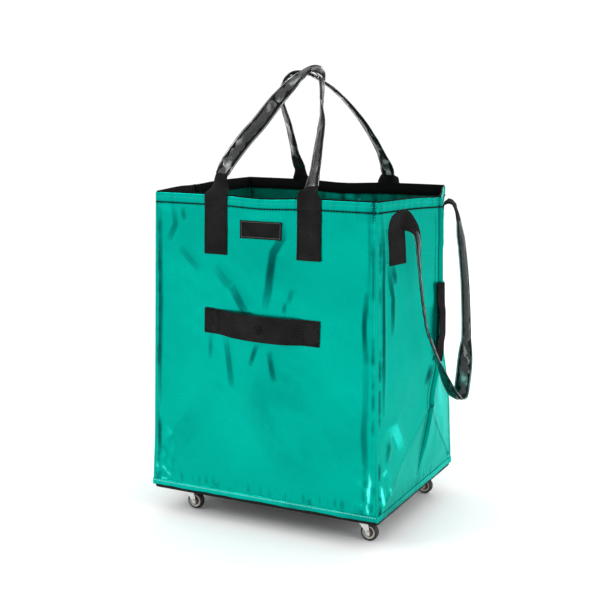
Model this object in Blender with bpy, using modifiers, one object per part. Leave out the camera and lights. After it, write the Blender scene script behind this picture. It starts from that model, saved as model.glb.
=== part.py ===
"""A wheeled tote trolley: an open-topped coated-fabric bag on a stiff base with four swivel casters.

Units are metres and +Z is up. The floor is at Z = 0. The bag's front panel faces -Y, and the pull
strap hangs on the +X side. Shapes are worked out about the bag's own centre plane, and one empty
moves the whole trolley in X so that the origin is under the middle of its bounding box.
"""

import math

import bmesh
import bpy
from mathutils import Vector

# Driving dimensions of the bag
BASE_WIDTH = 0.455
BASE_DEPTH = 0.370
RIM_WIDTH = 0.435
RIM_DEPTH = 0.348
BASE_Z = 0.050
RIM_Z = 0.605
PANEL = 0.0012
GAP = 0.0003
LEFT_BULGE = 0.028
RIGHT_BULGE = 0.046
BULGE_FULL_Z = 0.330
PANEL_ROWS = 14
CORNER_CLEAR = 0.0042
SEAM_RADIUS = 0.0020
CREASE_FIN = 0.0065
CREASE_THICKNESS = 0.0022

# Base stack, from the cover's underside up
COVER_TOP_Z = 0.0585
COVER_FLARE = 0.0012
RAIL_LOW_Z = 0.0516
RAIL_TOP_Z = 0.0576
RAIL_WIDTH = 0.038
RAIL_HALF_LENGTH = 0.206
BOARD_LOW_Z = 0.0580
BOARD_THICKNESS = 0.0040
LINER_THICKNESS = 0.0012
PANEL_LOW_Z = 0.0590
HEM_TOP_Z = 0.0680
HEM = 0.0012

# Webbing and its clear sleeve
WEBBING = 0.0018
WEBBING_WIDTH = 0.046
FOLDED_WIDTH = 0.023
FOLDED_THICKNESS = 0.0024
SLEEVE_WIDTH = 0.0290
SLEEVE_THICKNESS = 0.0064
SLEEVE_WALL = 0.0006
RIM_WEBBING = 0.0014
RIM_WEBBING_WIDTH = 0.025
TAB_OFFSET = 0.0006

# Carrying handles, one on each broad panel
HANDLE_HALF_SPACING = 0.0917
TAB_LOW_Z = 0.500
TAB_TOP_Z = 0.602
HINGE_Z = 0.604
NECK_LENGTH = 0.036
HANDLE_LEAN = -0.70
STRAP_STATIONS = 38

# Pull strap on the right side panel
PULL_TAB_Y = 0.128
PULL_TAB_LOW_Z = 0.497
PULL_TAB_TOP_Z = 0.578
PULL_HINGE_X = 0.257
PULL_HINGE_Z = 0.570
PULL_REACH_X = 0.3169

# Grab straps
GRAB_HALF_LENGTH = 0.1145
GRAB_Z = 0.377
GRAB_WIDTH = 0.046
GRAB_BOW = 0.0095
SIDE_GRAB_LOW_Z = 0.306
SIDE_GRAB_TOP_Z = 0.450
SIDE_GRAB_WIDTH = 0.040
SIDE_GRAB_BOW = 0.0080

# Label and press stud
LABEL_WIDTH = 0.083
LABEL_HEIGHT = 0.033
LABEL_Z = 0.5475
LABEL_THICKNESS = 0.0010
STUD_RADIUS = 0.0062

# Casters
CASTER_X = 0.180
CASTER_Y = 0.137
TRAIL = 0.014
WHEEL_RADIUS = 0.016
TYRE_INNER = 0.0122
TYRE_HALF_WIDTH = 0.0065
HUB_RADIUS = 0.0119
HUB_HALF_WIDTH = 0.0058
BORE_RADIUS = 0.0028
FORK_INNER_Y = 0.0080
FORK_PLATE = 0.0015
FORK_TOP_Z = 0.0422
FORK_CROWN = 0.0022
RACE_LOW_Z = 0.0425
PLATE_LOW_Z = 0.0477
PLATE_TOP_Z = 0.0497
PLATE_LENGTH = 0.046
PLATE_WIDTH = 0.038
PIN_RADIUS = 0.0035
PIN_HOLE = 0.0038
ROUND_STEPS = 28
SMALL_STEPS = 16

# Side panels stay flat over their lowest row, where the hem is sewn on
BULGE_START_Z = PANEL_LOW_Z + (RIM_Z - PANEL_LOW_Z) / PANEL_ROWS


# Scene set-up

def clear_scene():
    for item in list(bpy.data.objects):
        bpy.data.objects.remove(item, do_unlink=True)


def new_collection(name):
    collection = bpy.data.collections.new(name)
    bpy.context.scene.collection.children.link(collection)
    return collection


def material(name, colour, roughness, metallic=0.0, alpha=1.0):
    made = bpy.data.materials.new(name)
    made.use_nodes = True
    shader = made.node_tree.nodes["Principled BSDF"]
    shader.inputs["Base Color"].default_value = (*colour, 1.0)
    shader.inputs["Roughness"].default_value = roughness
    shader.inputs["Metallic"].default_value = metallic
    shader.inputs["Alpha"].default_value = alpha
    made.diffuse_color = (*colour, alpha)
    return made


def add(name, mesh, finish, parent, origin=(0, 0, 0)):
    """Link an object for one sub-part, with its origin at a point of the bag's own frame."""
    item = bpy.data.objects.new(name, mesh)
    if finish is not None and not mesh.materials:
        mesh.materials.append(finish)
    parts.objects.link(item)
    item.parent = parent
    item.location = origin
    return item


def helper(name, mesh):
    """Link a cutter, which is never part of the trolley."""
    item = bpy.data.objects.new(name, mesh)
    cutters.objects.link(item)
    item.hide_render = True
    item.display_type = "WIRE"
    return item


def smooth(mesh, degrees=35):
    mesh.shade_smooth()
    mesh.set_sharp_from_angle(angle=math.radians(degrees))
    return mesh


def mesh_from(build):
    """Run one function on a fresh bmesh and return what it made as a mesh."""
    work = bmesh.new()
    build(work)
    bmesh.ops.recalc_face_normals(work, faces=work.faces)
    mesh = bpy.data.meshes.new("shape")
    work.to_mesh(mesh)
    work.free()
    return mesh


def baked(item):
    """The evaluated mesh of an object, after which the object itself is removed."""
    graph = bpy.context.evaluated_depsgraph_get()
    mesh = bpy.data.meshes.new_from_object(item.evaluated_get(graph))
    bpy.data.objects.remove(item, do_unlink=True)
    return mesh


# General shapes

def box_mesh(low, high):
    size = Vector(high) - Vector(low)
    middle = (Vector(high) + Vector(low)) / 2

    def build(work):
        bmesh.ops.create_cube(work, size=1.0)
        for vertex in work.verts:
            vertex.co = Vector(a * b for a, b in zip(vertex.co, size)) + middle

    return mesh_from(build)


def cylinder_mesh(radius, low_z, high_z, top_radius=None, x=0.0, steps=SMALL_STEPS):
    def build(work):
        bmesh.ops.create_cone(
            work, cap_ends=True, segments=steps, radius1=radius,
            radius2=radius if top_radius is None else top_radius, depth=high_z - low_z)
        bmesh.ops.translate(work, verts=work.verts, vec=(x, 0, (low_z + high_z) / 2))

    return mesh_from(build)


def loft_mesh(loops, closed=False, origin=(0, 0, 0)):
    """Skin a row of equal loops of points. A closed row joins its last loop to its first."""
    start = Vector(origin)

    def build(work):
        rows = [[work.verts.new(point - start) for point in loop] for loop in loops]
        pairs = list(zip(rows, rows[1:]))
        if closed:
            pairs.append((rows[-1], rows[0]))
        else:
            work.faces.new(rows[0])
            work.faces.new(rows[-1][::-1])
        for near, far in pairs:
            for i in range(len(near)):
                j = (i + 1) % len(near)
                work.faces.new((near[i], near[j], far[j], far[i]))

    return mesh_from(build)


def turned(name, profile, finish, parent, origin, steps=ROUND_STEPS, ring=True):
    """Turn a profile of (radius, height) about the object's Z axis."""
    mesh = bpy.data.meshes.new(name)
    points = [(radius, 0.0, height) for radius, height in profile]
    edges = [(i, i + 1) for i in range(len(points) - 1)]
    if ring:
        edges.append((len(points) - 1, 0))
    mesh.from_pydata(points, edges, [])
    item = add(name, mesh, finish, parent, origin)
    screw = item.modifiers.new("Turn", "SCREW")
    screw.steps = steps
    screw.render_steps = steps
    screw.use_merge_vertices = True
    screw.merge_threshold = 0.00001
    screw.use_smooth_shade = True
    return item


def boolean(item, other, operation):
    step = item.modifiers.new(operation.title(), "BOOLEAN")
    step.operation = operation
    step.solver = "EXACT"
    step.object = other


def smooth_path(points, count):
    """Evenly spaced points on a Catmull-Rom curve through the given ones."""
    line = [Vector(p) for p in points]
    ends = [2 * line[0] - line[1]] + line + [2 * line[-1] - line[-2]]
    fine = []
    for a, b, c, d in zip(ends, ends[1:], ends[2:], ends[3:]):
        for step in range(12):
            t = step / 12
            fine.append(0.5 * (2 * b + (c - a) * t + (2 * a - 5 * b + 4 * c - d) * t ** 2
                               + (3 * b - a - 3 * c + d) * t ** 3))
    fine.append(line[-1])
    reach = [0.0]
    for a, b in zip(fine, fine[1:]):
        reach.append(reach[-1] + (b - a).length)
    even = []
    for i in range(count):
        want = reach[-1] * i / (count - 1)
        k = max(j for j in range(len(fine) - 1) if reach[j] <= want + 1e-12)
        share = (want - reach[k]) / (reach[k + 1] - reach[k])
        even.append(fine[k].lerp(fine[k + 1], min(share, 1.0)))
    return even, reach[-1]


def between(stops, share):
    """Read a value or vector off a list of (share, value) stops."""
    for (a, low), (b, high) in zip(stops, stops[1:]):
        if share <= b:
            return low + (high - low) * ((share - a) / (b - a))
    return stops[-1][1]


def strap_loops(path, across, width, thickness):
    """Rectangular sections along a path. across, width and thickness are functions of share."""
    loops = []
    last = len(path) - 1
    for i, point in enumerate(path):
        share = i / last
        along = (path[min(i + 1, last)] - path[max(i - 1, 0)]).normalized()
        side = across(share)
        side = (side - along * side.dot(along)).normalized()
        out = along.cross(side)
        w = side * width(share) / 2
        t = out * thickness(share) / 2
        loops.append([point - w - t, point + w - t, point + w + t, point - w + t])
    return loops


# The bag's outline

def half_width(z):
    return (BASE_WIDTH + (RIM_WIDTH - BASE_WIDTH) * (z - BASE_Z) / (RIM_Z - BASE_Z)) / 2


def half_depth(z):
    return (BASE_DEPTH + (RIM_DEPTH - BASE_DEPTH) * (z - BASE_Z) / (RIM_Z - BASE_Z)) / 2


def bulge(z):
    """How far the side creases stand out, from 0 at the base to 1 at mid height and above."""
    t = min(max((z - BULGE_START_Z) / (BULGE_FULL_Z - BULGE_START_Z), 0.0), 1.0)
    return t * t * (3 - 2 * t)


def side_x(y, z, crease):
    """Distance of a side panel's outer face from the centre plane."""
    return half_width(z) + crease * bulge(z) * max(0.0, 1 - abs(y) / half_depth(z))


def front_y(z):
    return -half_depth(z)


def plan_loop(z, inset, corner, side_points=8):
    """The bag's outline at one height, moved in by inset, with its corners cut off."""
    wide = half_width(z) - inset
    deep = half_depth(z) - inset
    reach = deep - corner
    loop = []
    for side, crease in ((1, RIGHT_BULGE), (-1, LEFT_BULGE)):
        loop.append(Vector((side * (wide - corner), -side * deep, z)))
        for i in range(side_points + 1):
            y = -side * reach * (1 - 2 * i / side_points)
            loop.append(Vector((side * (side_x(y, z, crease) - inset * 1.04), y, z)))
        loop.append(Vector((side * (wide - corner), side * deep, z)))
    return loop


def ring_mesh(low_z, high_z, outer, inner, corner):
    """A band round the whole bag, from one inset to another."""
    around = [plan_loop(low_z, outer, corner), plan_loop(high_z, outer, corner),
              plan_loop(high_z, inner, corner), plan_loop(low_z, inner, corner)]
    return loft_mesh([list(section) for section in zip(*around)], closed=True)


def sheet(name, point_at, across, up, finish, outward):
    """A panel: a grid laid on the bag's outer face, thickened inwards."""
    def build(work):
        bmesh.ops.create_grid(work, x_segments=across, y_segments=up, size=0.5)
        for vertex in work.verts:
            vertex.co = point_at(vertex.co.x + 0.5, vertex.co.y + 0.5)

    mesh = mesh_from(build)
    if mesh.polygons[0].normal.dot(Vector(outward)) < 0:
        mesh.flip_normals()
    item = add(name, smooth(mesh, 12), finish, trolley)
    shell = item.modifiers.new("Cloth", "SOLIDIFY")
    shell.thickness = PANEL
    shell.offset = -1.0
    return item


# Bag pieces

def broad_panel(name, side):
    """side is -1 for the front panel and 1 for the back one."""
    def point_at(u, v):
        z = PANEL_LOW_Z + (RIM_Z - PANEL_LOW_Z) * v
        x = (half_width(z) - CORNER_CLEAR) * (2 * u - 1)
        return Vector((x, side * half_depth(z), z))

    sheet(name, point_at, 2, 2, coated_cloth, (0, side, 0))


def side_panel(name, side, crease):
    def point_at(u, v):
        z = PANEL_LOW_Z + (RIM_Z - PANEL_LOW_Z) * v
        y = (half_depth(z) - CORNER_CLEAR) * (2 * u - 1)
        return Vector((side * side_x(y, z, crease), y, z))

    sheet(name, point_at, 8, PANEL_ROWS, coated_cloth, (side, 0, 0))


def corner_seam(name, side_x_sign, side_y_sign):
    """The taped seam that closes one upright corner."""
    curve = bpy.data.curves.new(name, "CURVE")
    curve.dimensions = "3D"
    curve.bevel_depth = SEAM_RADIUS
    curve.bevel_resolution = 1
    curve.use_fill_caps = True
    line = curve.splines.new("POLY")
    line.points.add(1)
    for point, z in zip(line.points, (HEM_TOP_Z + 0.001, RIM_Z)):
        x = side_x_sign * (half_width(z) - 0.0016)
        y = side_y_sign * (half_depth(z) - 0.0016)
        point.co = (x, y, z, 1)
    curve.materials.append(coated_cloth)
    item = bpy.data.objects.new(name, curve)
    parts.objects.link(item)
    item.parent = trolley


def crease_seam(name, side, crease):
    """The stitched pleat down the middle of a side panel, standing proud of it."""
    loops = []
    rise = (RIM_Z - BULGE_START_Z) / (PANEL_ROWS - 1)
    heights = [BULGE_START_Z + rise * i for i in range(PANEL_ROWS)]
    for z in [HEM_TOP_Z + 0.001] + heights:
        foot = side_x(0, z, crease) + GAP
        tip = foot + CREASE_FIN * min(1.0, 0.25 + bulge(z))
        half = CREASE_THICKNESS / 2
        loops.append([Vector((side * x, y, z)) for x, y in
                      ((foot, -half), (tip, -half), (tip, half), (foot, half))])
    add(name, loft_mesh(loops), coated_cloth, trolley)


def rim_webbing():
    outer = PANEL + 2 * GAP
    mesh = ring_mesh(RIM_Z - RIM_WEBBING_WIDTH, RIM_Z, outer, outer + RIM_WEBBING, 0.006)
    add("rim_webbing", mesh, black_webbing, trolley)


def base_hem():
    mesh = ring_mesh(PANEL_LOW_Z, HEM_TOP_Z, -GAP - HEM, -GAP, 0.0015)
    add("base_hem", mesh, coated_cloth, trolley)


def base_cover():
    """The black fabric tray under the base, its wall turned up round the edge."""
    wide = BASE_WIDTH / 2 + COVER_FLARE
    deep = BASE_DEPTH / 2 + COVER_FLARE

    def build(work):
        bmesh.ops.create_cube(work, size=1.0)
        for vertex in work.verts:
            height = COVER_TOP_Z if vertex.co.z > 0 else BASE_Z
            vertex.co = Vector((2 * wide * vertex.co.x, 2 * deep * vertex.co.y, height))
        lid = [face for face in work.faces if face.normal.z > 0.9]
        bmesh.ops.delete(work, geom=lid, context="FACES")

    mesh = mesh_from(build)
    if mesh.polygons[0].normal.dot(mesh.polygons[0].center - Vector((0, 0, COVER_TOP_Z))) < 0:
        mesh.flip_normals()
    item = add("base_cover", mesh, black_webbing, trolley)
    shell = item.modifiers.new("Cloth", "SOLIDIFY")
    shell.thickness = PANEL
    shell.offset = -1.0


def caster_rail(name, y):
    """A shallow pressed-steel channel, open below, that carries two casters."""
    def build(work):
        bmesh.ops.create_cube(work, size=1.0)
        for vertex in work.verts:
            height = RAIL_TOP_Z if vertex.co.z > 0 else RAIL_LOW_Z
            vertex.co.x *= 2 * RAIL_HALF_LENGTH
            vertex.co.y = y + RAIL_WIDTH * vertex.co.y
            vertex.co.z = height
        floor = [face for face in work.faces if face.normal.z < -0.9]
        bmesh.ops.delete(work, geom=floor, context="FACES")

    mesh = mesh_from(build)
    if mesh.polygons[0].normal.dot(mesh.polygons[0].center - Vector((0, y, RAIL_LOW_Z))) < 0:
        mesh.flip_normals()
    item = add(name, mesh, black_steel, trolley)
    shell = item.modifiers.new("Plate", "SOLIDIFY")
    shell.thickness = 0.0012
    shell.offset = -1.0


def floor_stack():
    """The stiff board that the load rests on, and the cloth that lines it."""
    inset = PANEL + 3 * GAP
    wide = half_width(BOARD_LOW_Z) - inset
    deep = half_depth(BOARD_LOW_Z) - inset
    top = BOARD_LOW_Z + BOARD_THICKNESS
    add("base_board", box_mesh((-wide, -deep, BOARD_LOW_Z), (wide, deep, top)), board, trolley)
    low = top + GAP
    mesh = box_mesh((-wide, -deep, low), (wide, deep, low + LINER_THICKNESS))
    add("floor_liner", mesh, coated_cloth, trolley)


def label_patch():
    y = front_y(LABEL_Z) - TAB_OFFSET - LABEL_THICKNESS / 2
    mesh = box_mesh((-LABEL_WIDTH / 2, -LABEL_THICKNESS / 2, -LABEL_HEIGHT / 2),
                    (LABEL_WIDTH / 2, LABEL_THICKNESS / 2, LABEL_HEIGHT / 2))
    item = add("label_patch", mesh, label_cloth, trolley, (0, y, LABEL_Z))
    item.rotation_euler.x = math.atan2(front_y(0) - front_y(1), 1)


# Straps

def grab_strap(name, side):
    """A short lifting strap across a broad panel, sewn at both ends and bowed off the panel."""
    stops = ((-1.0, 0), (-0.76, 0), (-0.52, 1), (0.0, 1.1), (0.52, 1), (0.76, 0), (1.0, 0))
    centre = []
    for share, lift in stops:
        y = side * (half_depth(GRAB_Z) + TAB_OFFSET + WEBBING / 2 + GRAB_BOW * lift)
        centre.append(Vector((share * GRAB_HALF_LENGTH, y, GRAB_Z)))
    lean = Vector((0, side * (half_depth(0) - half_depth(1)), -1)).normalized()
    loops = strap_loops(centre, lambda s: lean, lambda s: GRAB_WIDTH, lambda s: WEBBING)
    add(name, loft_mesh(loops), black_webbing, trolley)


def side_grab_reach(crease):
    """How far out an upright grab strap stands at its bow."""
    z = SIDE_GRAB_LOW_Z + (SIDE_GRAB_TOP_Z - SIDE_GRAB_LOW_Z) * 0.36
    return side_x(0, z, crease) + CREASE_FIN + 3 * GAP + SIDE_GRAB_BOW + WEBBING


def side_grab_strap(name, side, crease):
    """A short upright strap folded over a side crease, sewn top and bottom."""
    stops = ((0.0, 0), (0.20, 0), (0.36, 1), (0.64, 1), (0.80, 0), (1.0, 0))
    slope = 0.30
    reach = SIDE_GRAB_WIDTH / 2
    loops = []
    for share, lift in stops:
        z = SIDE_GRAB_LOW_Z + (SIDE_GRAB_TOP_Z - SIDE_GRAB_LOW_Z) * share
        inner = side_x(0, z, crease) + CREASE_FIN + 3 * GAP + SIDE_GRAB_BOW * lift
        outer = inner + WEBBING
        fold = ((inner, 0), (inner - slope * reach, reach), (outer - slope * reach, reach),
                (outer, 0), (outer - slope * reach, -reach), (inner - slope * reach, -reach))
        loops.append([Vector((side * x, y, z)) for x, y in fold])
    add(name, loft_mesh(loops), black_webbing, trolley)


def press_stud():
    """The press stud through the middle of the front grab strap."""
    depth = GRAB_BOW * 1.1 + TAB_OFFSET + WEBBING
    y = front_y(GRAB_Z) - depth - GAP
    profile = ((0.0, 0.0022), (0.0040, 0.0020), (STUD_RADIUS, 0.0008), (STUD_RADIUS, 0.0), (0.0, 0.0))
    item = turned("front_press_stud", profile, black_metal, trolley, (0, y, GRAB_Z - 0.003),
                  SMALL_STEPS, ring=False)
    item.rotation_euler.x = math.pi / 2


def handle_route(side):
    """Points along the middle of a carrying loop, from its left leg over to its right one."""
    foot = half_depth(RIM_Z) + TAB_OFFSET + WEBBING
    if side < 0:
        route = ((-0.0917, 0.000, 0.606), (-0.0920, 0.011, 0.622), (-0.0915, 0.025, 0.641),
                 (-0.0860, 0.042, 0.664), (-0.0685, 0.069, 0.701), (-0.0510, 0.088, 0.728),
                 (-0.0350, 0.110, 0.759), (-0.0190, 0.128, 0.785), (-0.0020, 0.146, 0.808),
                 (0.0140, 0.156, 0.822), (0.0290, 0.156, 0.824), (0.0430, 0.146, 0.812),
                 (0.0520, 0.133, 0.791), (0.0620, 0.111, 0.761), (0.0740, 0.085, 0.724),
                 (0.0810, 0.058, 0.687), (0.0860, 0.040, 0.661), (0.0905, 0.015, 0.627),
                 (0.0917, 0.000, 0.606))
    else:
        route = ((-0.0917, 0.000, 0.606), (-0.0935, 0.011, 0.622), (-0.0950, 0.027, 0.647),
                 (-0.0920, 0.054, 0.688), (-0.0895, 0.075, 0.720), (-0.0890, 0.091, 0.743),
                 (-0.0880, 0.106, 0.766), (-0.0800, 0.121, 0.789), (-0.0620, 0.133, 0.808),
                 (-0.0380, 0.140, 0.818), (-0.0100, 0.138, 0.814), (0.0140, 0.127, 0.798),
                 (0.0350, 0.115, 0.780), (0.0620, 0.091, 0.743), (0.0820, 0.062, 0.700),
                 (0.0960, 0.032, 0.652), (0.0965, 0.015, 0.627), (0.0917, 0.000, 0.606))
    return [Vector((x, side * (foot - inward), z)) for x, inward, z in route]


def neck_twist(flat, turned_to, turn):
    """The strap's width lies flat at both feet and stands square to the loop between them."""
    return ((0.0, flat), (0.01, flat), (turn, turned_to), (1 - turn, turned_to), (0.99, flat), (1.0, flat))


def handle(prefix, side):
    """One carrying handle: two sewn tabs, the folded webbing loop and the sleeve over it."""
    for where, sign in (("left", -1), ("right", 1)):
        centre = [Vector((sign * HANDLE_HALF_SPACING,
                          side * (half_depth(z) + TAB_OFFSET + WEBBING / 2), z))
                  for z in (TAB_LOW_Z, TAB_TOP_Z)]
        loops = strap_loops(centre, lambda s: Vector((1, 0, 0)), lambda s: WEBBING_WIDTH,
                            lambda s: WEBBING)
        add(f"{prefix}_tab_{where}", loft_mesh(loops), black_webbing, trolley)
    pivot = (0, side * (half_depth(RIM_Z) + TAB_OFFSET + 2 * WEBBING), HINGE_Z)
    path, length = smooth_path(handle_route(side), STRAP_STATIONS)
    neck = NECK_LENGTH / length
    square = Vector((0, 1, -side * HANDLE_LEAN)).normalized()
    twist = neck_twist(Vector((1, 0, 0)), square, neck)
    narrow = ((0, WEBBING_WIDTH), (0.2 * neck, WEBBING_WIDTH), (neck, FOLDED_WIDTH), (1, FOLDED_WIDTH))
    thick = ((0, WEBBING), (neck, FOLDED_THICKNESS), (1, FOLDED_THICKNESS))
    loops = strap_loops(path, lambda s: between(twist, s),
                        lambda s: between(narrow, min(s, 1 - s)),
                        lambda s: between(thick, min(s, 1 - s)))
    add(f"{prefix}_webbing", loft_mesh(loops, origin=pivot), black_webbing, trolley, pivot)
    sleeve(f"{prefix}_sleeve", path, twist, neck * 1.15, 1 - neck * 1.15, pivot)


def sleeve(name, path, twist, start, end, pivot):
    """The clear tube that the folded webbing runs through, open at both ends."""
    last = len(path) - 1

    def skin(wall):
        return strap_loops(path, lambda s: between(twist, s),
                           lambda s: SLEEVE_WIDTH - 2 * wall,
                           lambda s: SLEEVE_THICKNESS - 2 * wall)

    keep = [i for i in range(last + 1) if start <= i / last <= end]
    outer = skin(0.0)
    inner = skin(SLEEVE_WALL)
    loops = [outer[i] for i in keep] + [inner[i] for i in reversed(keep)]
    add(name, loft_mesh(loops, closed=True, origin=pivot), clear_vinyl, trolley, pivot)


def pull_tab(name, sign):
    """The tab sewn to half of the side panel, its top folded over to point down and out."""
    y = sign * PULL_TAB_Y
    across = Vector((RIGHT_BULGE, -sign * half_depth(RIM_Z), 0)).normalized()
    out = Vector((half_depth(RIM_Z), sign * RIGHT_BULGE, 0)).normalized()
    level = Vector((0, -sign, 0))
    stations = [(Vector((side_x(y, z, RIGHT_BULGE), y, z)) + out * (TAB_OFFSET + WEBBING / 2),
                 across, out, WEBBING_WIDTH) for z in (PULL_TAB_LOW_Z, PULL_TAB_TOP_Z)]
    stations += [(Vector((0.2430, sign * 0.122, 0.5880)), across, Vector((0.6, 0, -0.8)), 0.042),
                 (Vector((0.2510, sign * 0.109, 0.5870)), level, Vector((-0.6, 0, -0.8)), 0.030),
                 (Vector((0.2560, sign * 0.100, 0.5785)), level, Vector((-0.95, 0, -0.3)), FOLDED_WIDTH)]
    loops = []
    for point, side, normal, width in stations:
        w = side * width / 2
        t = normal.normalized() * WEBBING / 2
        loops.append([point - w - t, point + w - t, point + w + t, point - w + t])
    add(name, loft_mesh(loops), black_webbing, trolley)


def pull_strap():
    """The long strap that hangs from the right side and tows the trolley."""
    for where, sign in (("front", -1), ("rear", 1)):
        pull_tab(f"pull_strap_tab_{where}", sign)
    route = ((0.2570, -0.0985, 0.568), (0.2575, -0.0980, 0.545), (0.2595, -0.0965, 0.504),
             (0.2670, -0.0920, 0.442), (0.2745, -0.0850, 0.382), (0.2835, -0.0720, 0.343),
             (0.2925, -0.0510, 0.301), (0.2980, -0.0290, 0.268), (0.3010, -0.0080, 0.247),
             (0.3020, 0.0100, 0.241), (0.3020, 0.0270, 0.248), (0.3000, 0.0470, 0.278),
             (0.2965, 0.0640, 0.312), (0.2930, 0.0740, 0.347), (0.2850, 0.0840, 0.432),
             (0.2760, 0.0890, 0.498), (0.2640, 0.0930, 0.538), (0.2570, 0.0985, 0.568))
    path, length = smooth_path(route, STRAP_STATIONS)
    twist = neck_twist(Vector((0, 1, 0)), Vector((-0.99, 0, -0.14)), 0.07)
    pivot = (PULL_HINGE_X, 0, PULL_HINGE_Z)
    loops = strap_loops(path, lambda s: between(twist, s), lambda s: FOLDED_WIDTH,
                        lambda s: FOLDED_THICKNESS)
    add("pull_strap_webbing", loft_mesh(loops, origin=pivot), black_webbing, trolley, pivot)
    sleeve("pull_strap_sleeve", path, twist, 0.08, 0.92, pivot)


# Casters

def fork_mesh():
    """A stamped fork: a round crown over the pin, and two cheeks that taper back to the axle."""
    end = 0.0052
    arc = [math.radians(a) for a in (-35, -62, -90, -118, -145, -172, -200)]
    outline = [(-0.0100, FORK_TOP_Z - 0.0006), (0.0125, FORK_TOP_Z - 0.0006)]
    outline += [(TRAIL + end * math.cos(a), WHEEL_RADIUS + end * math.sin(a)) for a in arc]
    crown = helper("fork_blank", cylinder_mesh(0.0140, FORK_TOP_Z - FORK_CROWN, FORK_TOP_Z, steps=24))
    for sign in (-1, 1):
        curve = bpy.data.curves.new("cheek", "CURVE")
        curve.dimensions = "2D"
        curve.fill_mode = "BOTH"
        curve.extrude = FORK_PLATE / 2
        line = curve.splines.new("POLY")
        line.use_cyclic_u = True
        line.points.add(len(outline) - 1)
        for point, (x, z) in zip(line.points, outline):
            point.co = (x, z, 0, 1)
        flat = bpy.data.objects.new("cheek", curve)
        cutters.objects.link(flat)
        flat.rotation_euler.x = math.pi / 2
        flat.location.y = sign * (FORK_INNER_Y + FORK_PLATE / 2)
        bpy.context.view_layer.update()
        place = flat.matrix_world.copy()
        mesh = baked(flat)
        mesh.transform(place)
        work = bmesh.new()
        work.from_mesh(mesh)
        bmesh.ops.remove_doubles(work, verts=work.verts, dist=0.00001)
        bmesh.ops.recalc_face_normals(work, faces=work.faces)
        work.to_mesh(mesh)
        work.free()
        boolean(crown, helper(f"cheek_{sign}", mesh), "UNION")
    pin = helper("pin_hole", cylinder_mesh(PIN_HOLE, 0.030, 0.050))
    boolean(crown, pin, "DIFFERENCE")
    bore = cylinder_mesh(BORE_RADIUS, -0.020, 0.020)
    for vertex in bore.vertices:
        vertex.co = Vector((vertex.co.x + TRAIL, -vertex.co.z, vertex.co.y + WHEEL_RADIUS))
    boolean(crown, helper("axle_hole", bore), "DIFFERENCE")
    return smooth(baked(crown))


def plate_mesh():
    """The caster's mounting plate, with the upper race of its swivel bearing pressed into it."""
    blank = helper("plate_blank", box_mesh((-PLATE_LENGTH / 2, -PLATE_WIDTH / 2, PLATE_LOW_Z),
                                           (PLATE_LENGTH / 2, PLATE_WIDTH / 2, PLATE_TOP_Z)))
    race = cylinder_mesh(0.0125, RACE_LOW_Z, PLATE_LOW_Z + 0.0005, top_radius=0.0150, steps=24)
    boolean(blank, helper("race", race), "UNION")
    boolean(blank, helper("plate_hole", cylinder_mesh(PIN_HOLE, 0.030, 0.060)), "DIFFERENCE")
    return smooth(baked(blank))


def caster(prefix, x, y, fork_shape, plate_shape):
    """One swivel caster. It trails towards +X at rest."""
    half = TYRE_HALF_WIDTH
    rim = HUB_HALF_WIDTH
    tyre_profile = ((WHEEL_RADIUS, 0.0035), (WHEEL_RADIUS, -0.0035), (0.0150, -0.0056),
                    (0.0136, -half), (TYRE_INNER, -half), (TYRE_INNER, half), (0.0136, half),
                    (0.0150, 0.0056))
    hub_profile = ((HUB_RADIUS, rim), (HUB_RADIUS, -rim), (0.0102, -rim), (0.0098, -0.0040),
                   (0.0058, -0.0040), (0.0052, -rim), (BORE_RADIUS, -rim), (BORE_RADIUS, rim),
                   (0.0052, rim), (0.0058, 0.0040), (0.0098, 0.0040), (0.0102, rim))
    head = FORK_INNER_Y + FORK_PLATE + GAP
    axle_profile = ((0.0, head + 0.0014), (0.0030, head + 0.0014), (0.0038, head + 0.0007),
                    (0.0038, head), (0.0025, head), (0.0025, -head), (0.0038, -head),
                    (0.0038, -head - 0.0007), (0.0030, -head - 0.0014), (0.0, -head - 0.0014))
    crown_low = FORK_TOP_Z - FORK_CROWN - GAP
    pin_profile = ((0.0, 0.0490), (PIN_RADIUS, 0.0490), (PIN_RADIUS, crown_low),
                   (0.0060, crown_low), (0.0060, crown_low - 0.0012), (0.0, crown_low - 0.0015))
    axle = (x + TRAIL, y, WHEEL_RADIUS)
    add(f"{prefix}_plate", plate_shape, zinc, trolley, (x, y, 0))
    turned(f"{prefix}_kingpin", pin_profile, zinc, trolley, (x, y, 0), SMALL_STEPS, ring=False)
    add(f"{prefix}_fork", fork_shape, zinc, trolley, (x, y, 0))
    lay_flat = (turned(f"{prefix}_axle", axle_profile, zinc, trolley, axle, SMALL_STEPS, ring=False),
                turned(f"{prefix}_hub", hub_profile, hub_plastic, trolley, axle, 24),
                turned(f"{prefix}_tyre", tyre_profile, tyre_rubber, trolley, axle))
    for item in lay_flat:
        item.rotation_euler.x = math.pi / 2


clear_scene()
parts = new_collection("rolling_tote_trolley")
cutters = new_collection("cutters")
trolley = bpy.data.objects.new("trolley", None)
# The left grab strap and the pull strap reach furthest, so the middle lies between them
trolley.location.x = (side_grab_reach(LEFT_BULGE) - PULL_REACH_X) / 2
parts.objects.link(trolley)

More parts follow.
